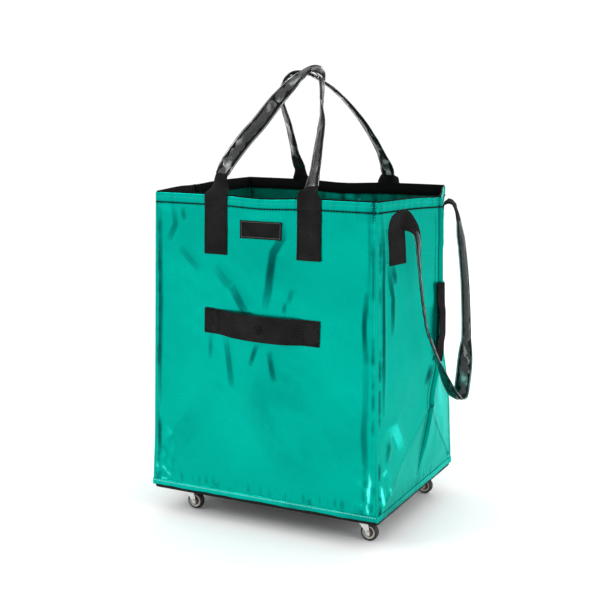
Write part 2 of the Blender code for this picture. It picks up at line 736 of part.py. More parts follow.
coated_cloth = material("coated_cloth", (0.0, 0.45, 0.36), 0.28, 0.75)
black_webbing = material("black_webbing", (0.012, 0.012, 0.012), 0.85)
clear_vinyl = material("clear_vinyl", (0.85, 0.87, 0.86), 0.10, 0.0, 0.3)
label_cloth = material("label_cloth", (0.010, 0.010, 0.010), 0.6)
black_steel = material("black_steel", (0.02, 0.02, 0.02), 0.45, 0.8)
black_metal = material("black_metal", (0.015, 0.015, 0.015), 0.35, 0.6)
board = material("board", (0.03, 0.03, 0.03), 0.7)
zinc = material("zinc", (0.62, 0.62, 0.60), 0.35, 1.0)
hub_plastic = material("hub_plastic", (0.55, 0.53, 0.45), 0.45)
tyre_rubber = material("tyre_rubber", (0.02, 0.02, 0.02), 0.7)

broad_panel("front_panel", -1)
broad_panel("back_panel", 1)
side_panel("left_panel", -1, LEFT_BULGE)
side_panel("right_panel", 1, RIGHT_BULGE)
for end, y_sign in (("front", -1), ("back", 1)):
    for hand, x_sign in (("left", -1), ("right", 1)):
        corner_seam(f"corner_seam_{end}_{hand}", x_sign, y_sign)
crease_seam("left_crease_seam", -1, LEFT_BULGE)
crease_seam("right_crease_seam", 1, RIGHT_BULGE)
rim_webbing()
base_hem()
base_cover()
caster_rail("caster_rail_front", -CASTER_Y)
caster_rail("caster_rail_rear", CASTER_Y)
floor_stack()
label_patch()
handle("front_handle", -1)
handle("rear_handle", 1)
pull_strap()
grab_strap("front_grab_strap", -1)
grab_strap("back_grab_strap", 1)
side_grab_strap("left_grab_strap", -1, LEFT_BULGE)
side_grab_strap("right_grab_strap", 1, RIGHT_BULGE)
press_stud()
fork_shape = fork_mesh()
plate_shape = plate_mesh()
for end, y_sign in (("front", -1), ("rear", 1)):
    for hand, x_sign in (("left", -1), ("right", 1)):
        caster(f"caster_{end}_{hand}", x_sign * CASTER_X, y_sign * CASTER_Y, fork_shape, plate_shape)
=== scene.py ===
"""Looks of the rolling tote trolley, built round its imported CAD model.

Shapes are worked out about the bag's own middle, in metres, and every mesh is moved by BAG_X into
the shared frame as it is made. The front panel faces -Y and the pull strap hangs on the +X side.
"""

import math

import bmesh
import bpy
import numpy as np
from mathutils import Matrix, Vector


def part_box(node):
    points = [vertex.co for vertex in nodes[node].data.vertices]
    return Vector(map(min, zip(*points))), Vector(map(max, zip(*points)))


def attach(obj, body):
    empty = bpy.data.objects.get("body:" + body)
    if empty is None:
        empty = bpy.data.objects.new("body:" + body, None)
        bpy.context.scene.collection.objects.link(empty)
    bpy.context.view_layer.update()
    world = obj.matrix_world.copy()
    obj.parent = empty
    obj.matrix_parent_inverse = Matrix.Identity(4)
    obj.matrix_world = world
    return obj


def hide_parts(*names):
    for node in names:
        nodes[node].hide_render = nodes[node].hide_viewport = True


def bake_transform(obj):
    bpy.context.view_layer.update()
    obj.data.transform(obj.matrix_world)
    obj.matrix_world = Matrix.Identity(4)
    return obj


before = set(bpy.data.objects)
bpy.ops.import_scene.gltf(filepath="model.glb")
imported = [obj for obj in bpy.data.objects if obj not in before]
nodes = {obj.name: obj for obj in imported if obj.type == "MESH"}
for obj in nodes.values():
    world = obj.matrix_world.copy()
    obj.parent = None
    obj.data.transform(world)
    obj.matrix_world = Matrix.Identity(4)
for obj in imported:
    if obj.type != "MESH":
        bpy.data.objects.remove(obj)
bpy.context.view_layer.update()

low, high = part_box("base_cover")
BAG_X = (low.x + high.x) / 2
RIM_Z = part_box("front_panel")[1].z
PANEL_LOW_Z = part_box("front_panel")[0].z

# The bag's outline, as in the CAD
BASE_Z = 0.050
BASE_HALF = (0.2275, 0.1850)
RIM_HALF = (0.2175, 0.1740)
PANEL = 0.0012
FRONT, RIGHT, BACK, LEFT = range(4)
SIGN = {FRONT: -1, RIGHT: 1, BACK: 1, LEFT: -1}
SIDE_BULGE = {RIGHT: 0.046, LEFT: 0.028}
FOLD_FOOT_Z = 0.062
FOLD_PEAK_Z = 0.225
FOLD_SHARE = 0.62
BULGE_FULL_Z = 0.330
CORNER_ROUND = 0.0035
FIN = 0.0062
WEBBING = 0.0018
WEBBING_WIDTH = 0.046
FOLDED_WIDTH = 0.0235

# Stitching
TOPSTITCH_Z = 0.5875
RIM_STITCH_Z = 0.5975
HEM_STITCH_Z = 0.0622
SEAM_LOW_Z, SEAM_HIGH_Z = 0.072, 0.583
CREASE_LOW_Z = 0.080
CORNER_SEAM_IN = 0.0062
CREASE_SEAM_OUT = 0.0105
BOX_HALF = 0.0195  # half the box of stitches that holds a tab


# Small tools

def ease(low_end, high_end, value):
    """0 below low_end, 1 above high_end and smooth between them."""
    t = np.clip((np.asarray(value, float) - low_end) / (high_end - low_end), 0.0, 1.0)
    return t * t * (3 - 2 * t)


def bump(value, centre, width):
    return np.exp(-(((np.asarray(value, float) - centre) / width) ** 2))


def unit(vectors):
    vectors = np.asarray(vectors, float)
    return vectors / np.maximum(np.linalg.norm(vectors, axis=-1, keepdims=True), 1e-12)


def ripples(seed, count, shortest, longest):
    """Smooth random waves in the plane, the same ones each run, with a height of about 1."""
    draw = np.random.default_rng(seed)
    length = draw.uniform(shortest, longest, count)
    turn = draw.uniform(0, math.tau, count)
    phase = draw.uniform(0, math.tau, count)
    weight = length / np.sqrt((length ** 2).sum())

    def at(a, z):
        total = np.zeros(np.broadcast(a, z).shape)
        for wave, angle, start, share in zip(length, turn, phase, weight):
            across = a * math.cos(angle) + z * math.sin(angle)
            total = total + share * np.sin(math.tau * across / wave + start)
        return total * 1.4

    return at


def smooth_path(points, step):
    """Evenly spaced points, about step apart, on a Catmull-Rom curve through the given ones."""
    points = np.asarray(points, float)
    ends = np.vstack([2 * points[0] - points[1], points, 2 * points[-1] - points[-2]])
    fine = []
    for a, b, c, d in zip(ends, ends[1:], ends[2:], ends[3:]):
        t = np.linspace(0, 1, 16, endpoint=False)[:, None]
        fine.append(0.5 * (2 * b + (c - a) * t + (2 * a - 5 * b + 4 * c - d) * t ** 2
                           + (3 * b - a - 3 * c + d) * t ** 3))
    fine = np.vstack(fine + [points[-1:]])
    return evenly(fine, step)


def lengths(line):
    """How far along a line each of its points is."""
    return np.concatenate([[0], np.cumsum(np.linalg.norm(np.diff(line, axis=0), axis=1))])


def between(values, places, rows):
    """Read vectors that are given at places, at other values of the place."""
    return np.stack([np.interp(values, places, column) for column in np.asarray(rows, float).T], axis=1)


def evenly(line, step):
    along = lengths(line)
    count = max(2, int(round(along[-1] / step)) + 1)
    return between(np.linspace(0, along[-1], count), along, line)


def ways_at(table, values):
    """Read directions off a table of (place, direction)."""
    places, ways = zip(*table)
    return between(values, places, ways)


def nearest(grid, rows, columns):
    """The points of a grid nearest some places. rows and columns are each (the grid's own, wanted)."""
    row, column = (np.round(np.interp(wanted, own, np.arange(len(own)))).astype(int)
                   for own, wanted in (rows, columns))
    return grid[row, column]


# Meshes

def add_to_scene(name, data):
    item = bpy.data.objects.new(name, data)
    bpy.context.scene.collection.objects.link(item)
    return item


def make_mesh(name, points, faces, finish, uvs=None):
    """Add a smooth mesh. points are about the bag's middle, and uvs are one to a point."""
    mesh = bpy.data.meshes.new(name)
    moved = np.asarray(points, float).reshape(-1, 3) + np.array([BAG_X, 0, 0])
    mesh.from_pydata(moved.tolist(), [], [list(map(int, face)) for face in faces])
    if uvs is not None:
        layer = mesh.uv_layers.new(name="Along")
        corner = np.zeros(len(mesh.loops), np.int32)
        mesh.loops.foreach_get("vertex_index", corner)
        layer.data.foreach_set("uv", np.asarray(uvs, np.float32)[corner].ravel())
    mesh.materials.append(finish)
    mesh.shade_smooth()
    mesh.update()
    return add_to_scene(name, mesh)


def grid_faces(rows, columns, wrap_rows=False, wrap_columns=False):
    faces = []
    for i in range(rows if wrap_rows else rows - 1):
        for j in range(columns if wrap_columns else columns - 1):
            k, m = (i + 1) % rows, (j + 1) % columns
            faces.append((i * columns + j, i * columns + m, k * columns + m, k * columns + j))
    return faces


def facing_out(item):
    """Turn a closed mesh's faces outward."""
    work = bmesh.new()
    work.from_mesh(item.data)
    bmesh.ops.recalc_face_normals(work, faces=work.faces)
    work.to_mesh(item.data)
    work.free()
    return item


def thicken(item, thickness, offset):
    cloth = item.modifiers.new("Cloth", "SOLIDIFY")
    cloth.thickness = thickness
    cloth.offset = offset


def soften(item, width):
    """Round off a shape's edges."""
    edge = item.modifiers.new("Edge", "BEVEL")
    edge.width = width
    edge.segments = 2
    return edge


def belong(item, body, slot, *stands_for):
    """Say which body a piece moves with, and hide the CAD nodes that it stands for. slot is not used."""
    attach(item, body)
    if stands_for:
        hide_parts(*stands_for)


def tube(name, loops, finish, caps=True, closed=False, uvs=None):
    """Skin a row of equal closed loops."""
    loops = np.asarray(loops, float)
    rows, columns = loops.shape[:2]
    faces = grid_faces(rows, columns, wrap_rows=closed, wrap_columns=True)
    if caps and not closed:
        faces.append(tuple(range(columns)))
        faces.append(tuple(range((rows - 1) * columns, rows * columns))[::-1])
    return facing_out(make_mesh(name, loops, faces, finish, uvs))


def lathe(name, profile, finish, place, axis, steps=32):
    """Turn a profile of (radius, height) about an axis through a place."""
    axis = unit(axis)
    side = unit(np.cross(axis, [0.3, 0.5, 0.8]))
    other = np.cross(axis, side)
    loops = []
    for radius, height in profile:
        angle = np.linspace(0, math.tau, steps, endpoint=False)[:, None]
        ring = np.cos(angle) * side + np.sin(angle) * other
        loops.append(np.asarray(place) + ring * radius + axis * height)
    return tube(name, loops, finish)


# The bag's cloth

def half_width(z):
    flare = 0.0015 * ease(0.16, 0.06, z)
    return BASE_HALF[0] + (RIM_HALF[0] - BASE_HALF[0]) * (z - BASE_Z) / (RIM_Z - BASE_Z) + flare


def half_depth(z):
    flare = 0.0010 * ease(0.16, 0.06, z)
    return BASE_HALF[1] + (RIM_HALF[1] - BASE_HALF[1]) * (z - BASE_Z) / (RIM_Z - BASE_Z) + flare


def side_out(q, z, full):
    """A side panel stands out along its crease, and folds flat below like the end of a paper bag."""
    crease = full * (FOLD_SHARE + (1 - FOLD_SHARE) * ease(FOLD_PEAK_Z, BULGE_FULL_Z, z))
    above = (1 - np.abs(q)) * crease
    below = full * FOLD_SHARE * np.clip((z - FOLD_FOOT_Z) / (FOLD_PEAK_Z - FOLD_FOOT_Z), 0, 2)
    soft = 0.0030
    near = np.maximum(soft - np.abs(above - below), 0) / soft
    return np.maximum(np.minimum(above, below) - near * near * soft / 4, 0)


def streak(a, z, line, width, height):
    """A fold along a line of (a, z) points: how high it stands, and where its steep side is.

    The line, width and height are in millimetres.
    """
    line, width, height = (np.asarray(value, float) / 1000 for value in (line, width, height))
    along = lengths(line)
    best = np.full(a.shape, 1e9)
    signed = np.zeros(a.shape)
    share = np.zeros(a.shape)
    for i in range(len(line) - 1):
        run = line[i + 1] - line[i]
        size = np.linalg.norm(run)
        t = np.clip(((a - line[i][0]) * run[0] + (z - line[i][1]) * run[1]) / size ** 2, 0, 1)
        da, dz = a - line[i][0] - t * run[0], z - line[i][1] - t * run[1]
        gap = np.hypot(da, dz)
        nearer = gap < best
        side = np.sign(run[1] * da - run[0] * dz)
        best = np.where(nearer, gap, best)
        signed = np.where(nearer, gap * side, signed)
        share = np.where(nearer, (along[i] + t * size) / along[-1], share)
    taper = np.sin(math.pi * np.clip(share, 0.0, 1.0)) ** 0.6
    ratio = signed / width
    return height * taper * np.exp(-ratio ** 2), taper * ease(1.15, 0.55, np.abs(ratio - 0.55))


# Folds as (line of (a, z), width, height, painted shade), a being x on the front and y on the right.
# All but the painted shade are in millimetres; a negative painted shade is a painted highlight.
FRONT_FOLDS = (
    (((43, 570), (46, 535), (29, 508), (21, 445), (12, 403)), 9.5, 2.2, 0.7),
    (((-178, 585), (-172, 548), (-188, 515)), 7.5, 1.4, 0.5),
    (((-159, 582), (-154, 555)), 5.5, 1.1, 0.55),
    (((-164, 511), (-143, 491), (-117, 465)), 8, 1.6, 0.42),
    (((-90, 480), (-67, 455), (-49, 447)), 10, 1.6, 0.45),
    (((-54, 447), (-34, 415), (-22, 398)), 10, 2.2, 0.72),
    (((51, 424), (48, 402)), 4.8, 1.1, 0.55),
    (((65, 448), (57, 420)), 5.5, 1, 0.35),
    (((-100, 356), (-100, 306)), 5.5, 1.2, 0.55),
    (((-69, 358), (-62, 320), (-54, 258)), 8, 1.8, 0.66),
    (((-4, 344), (-19, 302)), 5.5, 1.4, 0.66),
    (((20, 336), (33, 282)), 6.5, 1.5, 0.6),
    (((-80, 262), (-118, 196), (-178, 118)), 26, 2.6, 0.16),
    (((-10, 276), (28, 190), (80, 118)), 28, 2.6, 0.14),
    (((-206, 590), (-206, 400), (-211, 205)), 6.2, 1.8, 0.72),
    (((-210, 186), (-213, 112)), 5, 1.4, 0.7),
    (((204.5, 455), (201, 392), (205.5, 330)), 5.8, 1.8, 0.8),
    (((206, 350), (205, 215), (210, 80)), 7, 1.8, 0.52),
    (((205, 600), (207, 520), (205, 440)), 4.2, 1, 0.4),
    (((100, 78), (102, 63)), 5, 1.4, 0.5),
    (((212, 150), (213.5, 68)), 4, 1.2, -0.8),
    (((-198, 175), (-186, 160), (-203, 146)), 6, 1.4, -0.55),
    (((-210, 100), (-185, 74)), 5, 1.2, -0.7),
    (((10, 300), (120, 270), (200, 190)), 35, 2.6, 0.12),
)
RIGHT_FOLDS = (
    (((-160, 590), (-158, 508), (-161, 380), (-159, 232)), 4.2, 2, 0.85),
    (((-148, 500), (-133, 437), (-136, 372)), 5.5, 1.8, 0.8),
    (((-136, 498), (-126, 462)), 6.5, 1.4, 0.7),
    (((-164, 190), (-150, 212), (-122, 214), (-101, 181), (-90, 150)), 13, 2.6, -0.62),
    (((-146, 200), (-142, 176), (-150, 150)), 7, 2, 0.6),
    (((-178, 112), (-156, 70)), 4.2, 1.4, -1),
    (((-150, 112), (-128, 86)), 4.5, 1.4, -0.9),
    (((-172, 128), (-165, 68)), 5, 1.6, -1),
    (((-160, 150), (-140, 122), (-150, 108)), 9, 1.5, -0.45),
    (((-12, 350), (-18, 318)), 6, 1.4, 0.85),
    (((-16, 305), (-20, 262)), 8.5, 1.6, 0.85),
    (((60, 420), (50, 250), (75, 130)), 10, 2.2, 0.3),
    (((105, 360), (95, 240), (130, 120)), 14, 2.2, -0.5),
)
BACK_FOLDS = (
    (((80, 584), (76, 540)), 6, 1.6, 0.7),
    (((48, 582), (52, 552)), 4.8, 1.4, 0.6),
    (((8, 586), (2, 536)), 7, 1.8, 0.75),
    (((-30, 582), (-26, 556)), 5, 1.4, -0.6),
    (((-60, 584), (-66, 530)), 6.5, 1.8, 0.75),
    (((-104, 586), (-100, 550)), 5, 1.4, 0.65),
    (((-136, 584), (-142, 534)), 6.5, 1.6, 0.75),
    (((-165, 582), (-162, 556)), 4.5, 1.2, -0.6),
    (((-60, 360), (-52, 300)), 7, 1.8, 0.6),
    (((12, 358), (20, 272)), 8, 1.8, 0.6),
    (((70, 352), (62, 310)), 6, 1.4, 0.5),
    (((-30, 500), (-10, 404)), 9, 2, 0.6),
    (((205, 560), (206, 330), (210, 120)), 6.5, 1.8, 0.65),
    (((-206, 540), (-205, 300), (-210, 100)), 6.5, 1.8, 0.65),
    (((140, 500), (110, 455), (60, 404)), 9, 1.6, 0.4),
    (((-60, 270), (-130, 150)), 28, 2.6, 0.15),
    (((40, 280), (120, 140)), 28, 2.6, 0.15),
)
LEFT_FOLDS = (
    (((-158, 580), (-160, 380), (-158, 200)), 5, 1.8, 0.7),
    (((156, 560), (160, 400), (157, 240)), 5, 1.8, 0.7),
    (((20, 300), (30, 240)), 8, 1.6, 0.7),
    (((-90, 200), (-125, 120)), 10, 2, -0.4),
    (((60, 420), (50, 260)), 10, 2, 0.35),
)
FOLDS = {FRONT: FRONT_FOLDS, RIGHT: RIGHT_FOLDS, BACK: BACK_FOLDS, LEFT: LEFT_FOLDS}


def waves(seed, *sizes):
    return {face: ripples(seed + face, *sizes) for face in range(4)}


BROAD = waves(11, 14, 0.090, 0.260)
FINE = waves(31, 18, 0.022, 0.060)
PUCKER = waves(51, 16, 0.009, 0.020)
CRUSH = waves(71, 16, 0.009, 0.024)
SEAM = waves(91, 18, 0.014, 0.090)
BROAD_HEIGHT = 0.0011
FINE_HEIGHT = 0.00012
CRUSH_HEIGHT = 0.0006


def half_span(face, z):
    return half_width(z) if face in (FRONT, BACK) else half_depth(z)


def relief(face, q, z):
    """(height of the cloth above its smooth shape, painted shade of its folds and seams, negative where a
    highlight is painted) at a place.
    """
    q, z = np.broadcast_arrays(np.asarray(q, float), np.asarray(z, float))
    span = half_span(face, z)
    a = q * span
    edge = span - np.abs(a)
    calm = ease(0.0, 0.018, edge) * ease(PANEL_LOW_Z + 0.004, PANEL_LOW_Z + 0.05, z)
    calm = calm * (1 - 0.75 * ease(TOPSTITCH_Z - 0.02, TOPSTITCH_Z, z))
    height = calm * (BROAD_HEIGHT * BROAD[face](a, z) + FINE_HEIGHT * FINE[face](a, z))
    painted_shading = np.zeros(a.shape)
    # Each fold raises the cloth and paints shade on its steep side; a negative weight paints a highlight
    # there instead
    for line, width, rise, painted_weight in FOLDS[face]:
        up, steep = streak(a, z, line, width, rise)
        height = height + up * ease(0.0, 0.006, edge)
        painted_shading = painted_shading + painted_weight * steep
    # Painted shade over the broad undulations.
    # Puckers that the stitching draws in along the rim, above the base and beside the corners, with painted
    # shade on them
    painted_shading = painted_shading + 0.07 * calm * BROAD[face](a, z)
    rim = bump(z, 0.596, 0.010) + 0.5 * bump(z, 0.578, 0.012)
    foot = bump(z, PANEL_LOW_Z + 0.016, 0.012)
    beside = bump(edge, 0.009, 0.006) * (0.6 + 0.4 * np.sin(z * 23 + face))
    upright = 0.6 * PUCKER[face](a * 0.3, z) + 0.7 * FINE[face](a, z * 1.3)
    level = PUCKER[face](a, z * 0.2)
    height = height + 0.00030 * ease(0, 0.01, edge) * (rim + foot) * level
    height = height + 0.00045 * beside * upright
    painted_shading = painted_shading + 0.35 * (0.6 * rim + foot) * ease(0.5, 1.3, level)
    seam = SEAM[face](0.15 * a, z)
    painted_shading = painted_shading + 0.30 * beside * ease(0.0, 1.4, seam)
    # The seam down each corner: a ridge with a stitched groove beside it, and painted shade along the groove
    painted_shading = painted_shading + 0.55 * bump(edge, 0.0072, 0.0030) * ease(-1.0, 1.2, seam)
    height = height + 0.0021 * bump(edge, 0, 0.0021) - 0.0011 * bump(edge, 0.0060, 0.0018)
    if face in SIDE_BULGE:
        fin = FIN * ease(0.075, 0.150, z) * (1 - 0.45 * ease(0.57, 0.60, z))
        height = height + fin * np.exp(-((np.abs(a) / 0.0017) ** 4))
        height = height - 0.0008 * bump(np.abs(a), CREASE_SEAM_OUT, 0.002)
        fold_z = FOLD_FOOT_Z + (FOLD_PEAK_Z - FOLD_FOOT_Z) * (1 - np.abs(q))
        height = height + 0.0011 * bump(z, fold_z, 0.0030) * ease(0.0, 0.02, edge)
        # Painted shade along the side's folding line and beside its crease
        painted_shading = painted_shading + 0.55 * bump(z, fold_z - 0.004, 0.0030) * ease(0.0, 0.03, edge)
        painted_shading = painted_shading + 0.6 * bump(np.abs(a), 0.0035, 0.0025)
    # Painted shade along the topstitch groove
    painted_shading = painted_shading + 0.8 * bump(z, TOPSTITCH_Z, 0.0021)
    # The low corners crumple where the hem gathers them, with painted shade and painted highlights on the
    # crumples
    low_corner = ease(0.060, 0.012, edge) * ease(0.190, 0.080, z) * ease(0.0, 0.006, edge)
    crush = CRUSH[face](a, z * 0.6)
    height = height + CRUSH_HEIGHT * low_corner * crush
    painted_shading = painted_shading + low_corner * (0.40 * ease(0.5, 1.3, crush) - 0.75 * ease(-0.5, -1.4, crush))
    # A full bag rounds a little, more towards the base
    if face in (FRONT, BACK):
        height = height + 0.0030 * np.cos(q * math.pi / 2) * np.sin(math.pi * ease(0.06, 0.60, z))
    return height, painted_shading


def pinch(x, y, z):
    """How far the cloth's rear right corner is drawn in between the rim and the base."""
    tall = ease(0.16, 0.34, z) * (1 - 0.45 * ease(0.54, 0.60, z))
    return 0.0155 * ease(0.02, 0.165, y) * ease(0.10, 0.21, x) * tall


def surface(face, a, z, lift=0.0):
    """The point on the outside of the cloth at a metres along a panel and z up, moved out by lift."""
    a, z, lift = np.broadcast_arrays(*(np.asarray(v, float) for v in (a, z, lift)))
    span = half_span(face, z)
    q = np.clip(a / span, -1, 1)
    sign = SIGN[face]
    zero = np.zeros(a.shape)
    if face in (FRONT, BACK):
        point = np.stack([-sign * q * span, sign * half_depth(z), z], -1)
        out = np.stack([zero, zero + sign, zero], -1)
        on = np.stack([zero - sign, zero, zero], -1)
        sag = 0.0040 * bump(q * span, 0.0, 0.060)
    else:
        reach = half_width(z) + side_out(q, z, SIDE_BULGE[face])
        point = np.stack([sign * reach, sign * q * span, z], -1)
        out = np.stack([zero + sign, zero, zero], -1)
        on = np.stack([zero, zero + sign, zero], -1)
        sag = 0.0035 * bump(q * span, 0.0, 0.050)
    edge = span * (1 - np.abs(q))
    share = np.clip(edge / CORNER_ROUND, 0, 1)[..., None]
    out = unit(out * (1 + share) + np.sign(q)[..., None] * on * (1 - share))
    height, _ = relief(face, q, z)
    point = point + out * (height + lift)[..., None]
    point = point - out * (0.41 * CORNER_ROUND * (1 - share) ** 2)
    point[..., 2] -= sag * ease(0.54, RIM_Z, z)
    point[..., 0] -= pinch(point[..., 0], point[..., 1], z)
    return point


def outward(face, a, z, step=0.0006):
    """Unit normals of the cloth."""
    along = surface(face, np.asarray(a) + step, z) - surface(face, np.asarray(a) - step, z)
    up = surface(face, a, np.asarray(z) + step) - surface(face, a, np.asarray(z) - step)
    return unit(np.cross(along, up))


def stations(face):
    """Places across a panel, close together at its corners and at a side's crease."""
    half = half_span(face, 0.33)
    offsets = [0.0]
    while offsets[-1] < half:
        offsets.append(offsets[-1] + min(0.0030, 0.0008 + 0.16 * offsets[-1]))
    edge = np.array(offsets[:-1]) if half - offsets[-2] > 0.002 else np.array(offsets[:-2])
    if face in (FRONT, BACK):
        places = np.concatenate([edge - half, [0.0], half - edge])
    else:
        fine = [0.0, 0.0006, 0.0011, 0.0015, 0.0019, 0.0023, 0.0028, 0.0035, 0.0045, 0.006, 0.0075,
                0.009, 0.0105, 0.012, 0.014]
        edge = edge[edge < half - 0.017]
        places = np.concatenate([edge - half, -np.array(fine), np.array(fine), half - edge])
    return np.unique(np.round(places, 6)) / half


def heights():
    parts = [np.arange(PANEL_LOW_Z, 0.078, 0.0014), np.arange(0.078, 0.570, 0.0026),
             np.arange(0.570, RIM_Z - 0.0005, 0.0017), [RIM_Z]]
    return np.concatenate(parts)


def ring_of(level, lift):
    """One loop right round the cloth, as (points, painted shade), from the front left corner."""
    points, painted_shading = [], []
    for face in range(4):
        q = stations(face)[:-1]
        points.append(surface(face, q * half_span(face, level), level, lift))
        painted_shading.append(relief(face, q, level)[1])
    return np.vstack(points), np.concatenate(painted_shading)


def bag_shell(finish):
    levels = heights()
    rings = [ring_of(level, 0.0) for level in levels]
    points = np.array([ring[0] for ring in rings])
    painted_shading = np.array([ring[1] for ring in rings])
    item = make_mesh("bag_shell", points, grid_faces(len(levels), points.shape[1], wrap_columns=True), finish)
    # The folds' painted shade and painted highlights go on the cloth as a point attribute that its colour
    # reads
    painted_light = item.data.attributes.new("painted_light", "FLOAT", "POINT")
    painted_light.data.foreach_set("value", np.clip(painted_shading, -1, 1).astype(np.float32).ravel())
    thicken(item, PANEL, -1.0)
    return item


def band(name, profile, finish, wave=0.0, seed=5):
    """A closed band right round the bag, from a profile of (z, lift)."""
    shift = ripples(seed, 12, 0.030, 0.110)
    loops = []
    for level, lift in profile:
        points, _ = ring_of(max(level, PANEL_LOW_Z), lift)
        points[:, 2] += level - max(level, PANEL_LOW_Z)
        around = lengths(points)
        points[:, 2] += wave * shift(around, 0.0)
        loops.append(points)
    return tube(name, loops, finish, closed=True)


# Straps and stitching

def strap_frame(path, across):
    """(across, out) at each point of a path, square to it and to each other."""
    along = unit(np.gradient(path, axis=0))
    across = unit(across - along * (across * along).sum(1, keepdims=True))
    return across, np.cross(along, across)


def strap_mesh(name, path, across, width, thickness, finish, cup, columns=15):
    """Webbing along a path. across, width, thickness and cup are given at every point of it."""
    across, out = strap_frame(path, across)
    c = np.linspace(-1, 1, columns)
    edge = np.clip(1 - np.abs(c) ** 10, 0.12, 1) ** 0.5
    section = np.concatenate([np.stack([c, edge], 1), np.stack([c[::-1], -edge[::-1]], 1)])
    loops, uvs = [], []
    reach = lengths(path)
    for i, point in enumerate(path):
        wide = section[:, 0] * width[i] / 2
        deep = section[:, 1] * thickness[i] / 2 + cup[i] * (section[:, 0] ** 2)
        loops.append(point + wide[:, None] * across[i] + deep[:, None] * out[i])
        flat = section[:, 0] * WEBBING_WIDTH / 2 * min(1.0, width[i] / WEBBING_WIDTH + 0.25)
        uvs.append(np.stack([np.full(len(section), reach[i]), flat], 1))
    return tube(name, loops, finish, uvs=np.vstack(uvs))


SLEEVE_HALF = 0.0143


def sleeve_mesh(name, path, across, finish, seed):
    """The clear sleeve: two films welded along both edges, wrinkled where the strap bends."""
    across, out = strap_frame(path, across)
    c = np.array([-1, -0.93, -0.86, -0.80, -0.68, -0.5, -0.25, 0, 0.25, 0.5, 0.68, 0.80, 0.86, 0.93, 1])
    body = 0.00045 + 0.0024 * np.clip(1 - (np.abs(c) / 0.84) ** 2.4, 0, 1)
    section = np.concatenate([np.stack([c, body], 1), np.stack([c[-2:0:-1], -body[-2:0:-1]], 1)])
    place, side = section[:, 0], np.sign(section[:, 1])
    inside = np.clip(1 - np.abs(place), 0.05, 1) ** 0.5
    crinkle = ripples(seed, 16, 0.006, 0.030)
    reach = lengths(path)
    along = unit(np.gradient(path, axis=0))
    bend = np.linalg.norm(np.gradient(along, axis=0), axis=1) / np.gradient(reach)
    loops = []
    for i, point in enumerate(path):
        rough = 0.00028 + 0.00045 * min(1.0, bend[i] / 12)
        push = crinkle(reach[i] + 0.3 * place * 0.0145, place * 0.01 + 0.05 * side)
        narrow = 1 - 0.06 * math.exp(-min(i, len(path) - 1 - i) / 2.0)
        wide = place * SLEEVE_HALF * narrow
        deep = section[:, 1] + side * rough * push * inside
        loops.append(point + wide[:, None] * across[i] + deep[:, None] * out[i])
    return tube(name, loops, finish, caps=False)


# One stitch, as rings of six points: (place along it, share of its full radius)
STITCH_RINGS = ((-0.5, 0.35), (-0.32, 1.0), (0.32, 1.0), (0.5, 0.35))


def closed_rows(rows, columns):
    """The faces of a row of loops, with a cap at each end."""
    last = rows * columns
    return grid_faces(rows, columns, wrap_columns=True) + [
        tuple(range(columns - 1, -1, -1)), tuple(range(last - columns, last))]


def stitch_mesh(name, runs, finish, pitch, size, radius):
    """Rows of single stitches. A run is (points, normals), lying on the cloth."""
    ring = [(math.cos(math.tau * k / 6), math.sin(math.tau * k / 6)) for k in range(6)]
    pattern = closed_rows(len(STITCH_RINGS), len(ring))
    points, faces = [], []
    for line, normals in runs:
        reach = lengths(line)
        if reach[-1] < pitch:
            continue
        places = np.arange(pitch / 2, reach[-1], pitch)
        at, ahead, behind = (between(places + gap, reach, line) for gap in (0.0, 0.0008, -0.0008))
        tangent = unit(ahead - behind)
        normal = unit(between(places, reach, normals))
        side = unit(np.cross(tangent, normal))
        for p, t, n, s in zip(at, tangent, normal, side):
            start = len(points)
            for place, thick in STITCH_RINGS:
                sink = radius * (1.1 if thick < 0.5 else 0.15)
                for x, y in ring:
                    points.append(p + t * place * size + (s * x + n * y) * radius * thick - n * sink)
            faces += [tuple(start + k for k in face) for face in pattern]
    return make_mesh(name, points, faces, finish)


def on_cloth(face, a, z, lift):
    """A run of stitching on a panel."""
    a, z = np.broadcast_arrays(np.asarray(a, float), np.asarray(z, float))
    return surface(face, a, z, lift), outward(face, a, z)


def box_runs(face, a_ends, z_ends, lift):
    """Stitching round a box on a panel, as its four sides, and then its two diagonals."""
    (a0, a1), (z0, z1) = a_ends, z_ends
    corners = ((a0, z0), (a1, z0), (a1, z1), (a0, z1))
    share = np.linspace(0, 1, 12)
    runs = []
    for start, end in ((0, 1), (1, 2), (2, 3), (3, 0), (0, 2), (1, 3)):
        (from_a, from_z), (to_a, to_z) = corners[start], corners[end]
        runs.append(on_cloth(face, from_a + (to_a - from_a) * share, from_z + (to_z - from_z) * share, lift))
    return runs


# Materials

def tinted(colour, share, lift=0.0):
    return tuple(share * value + lift for value in colour)


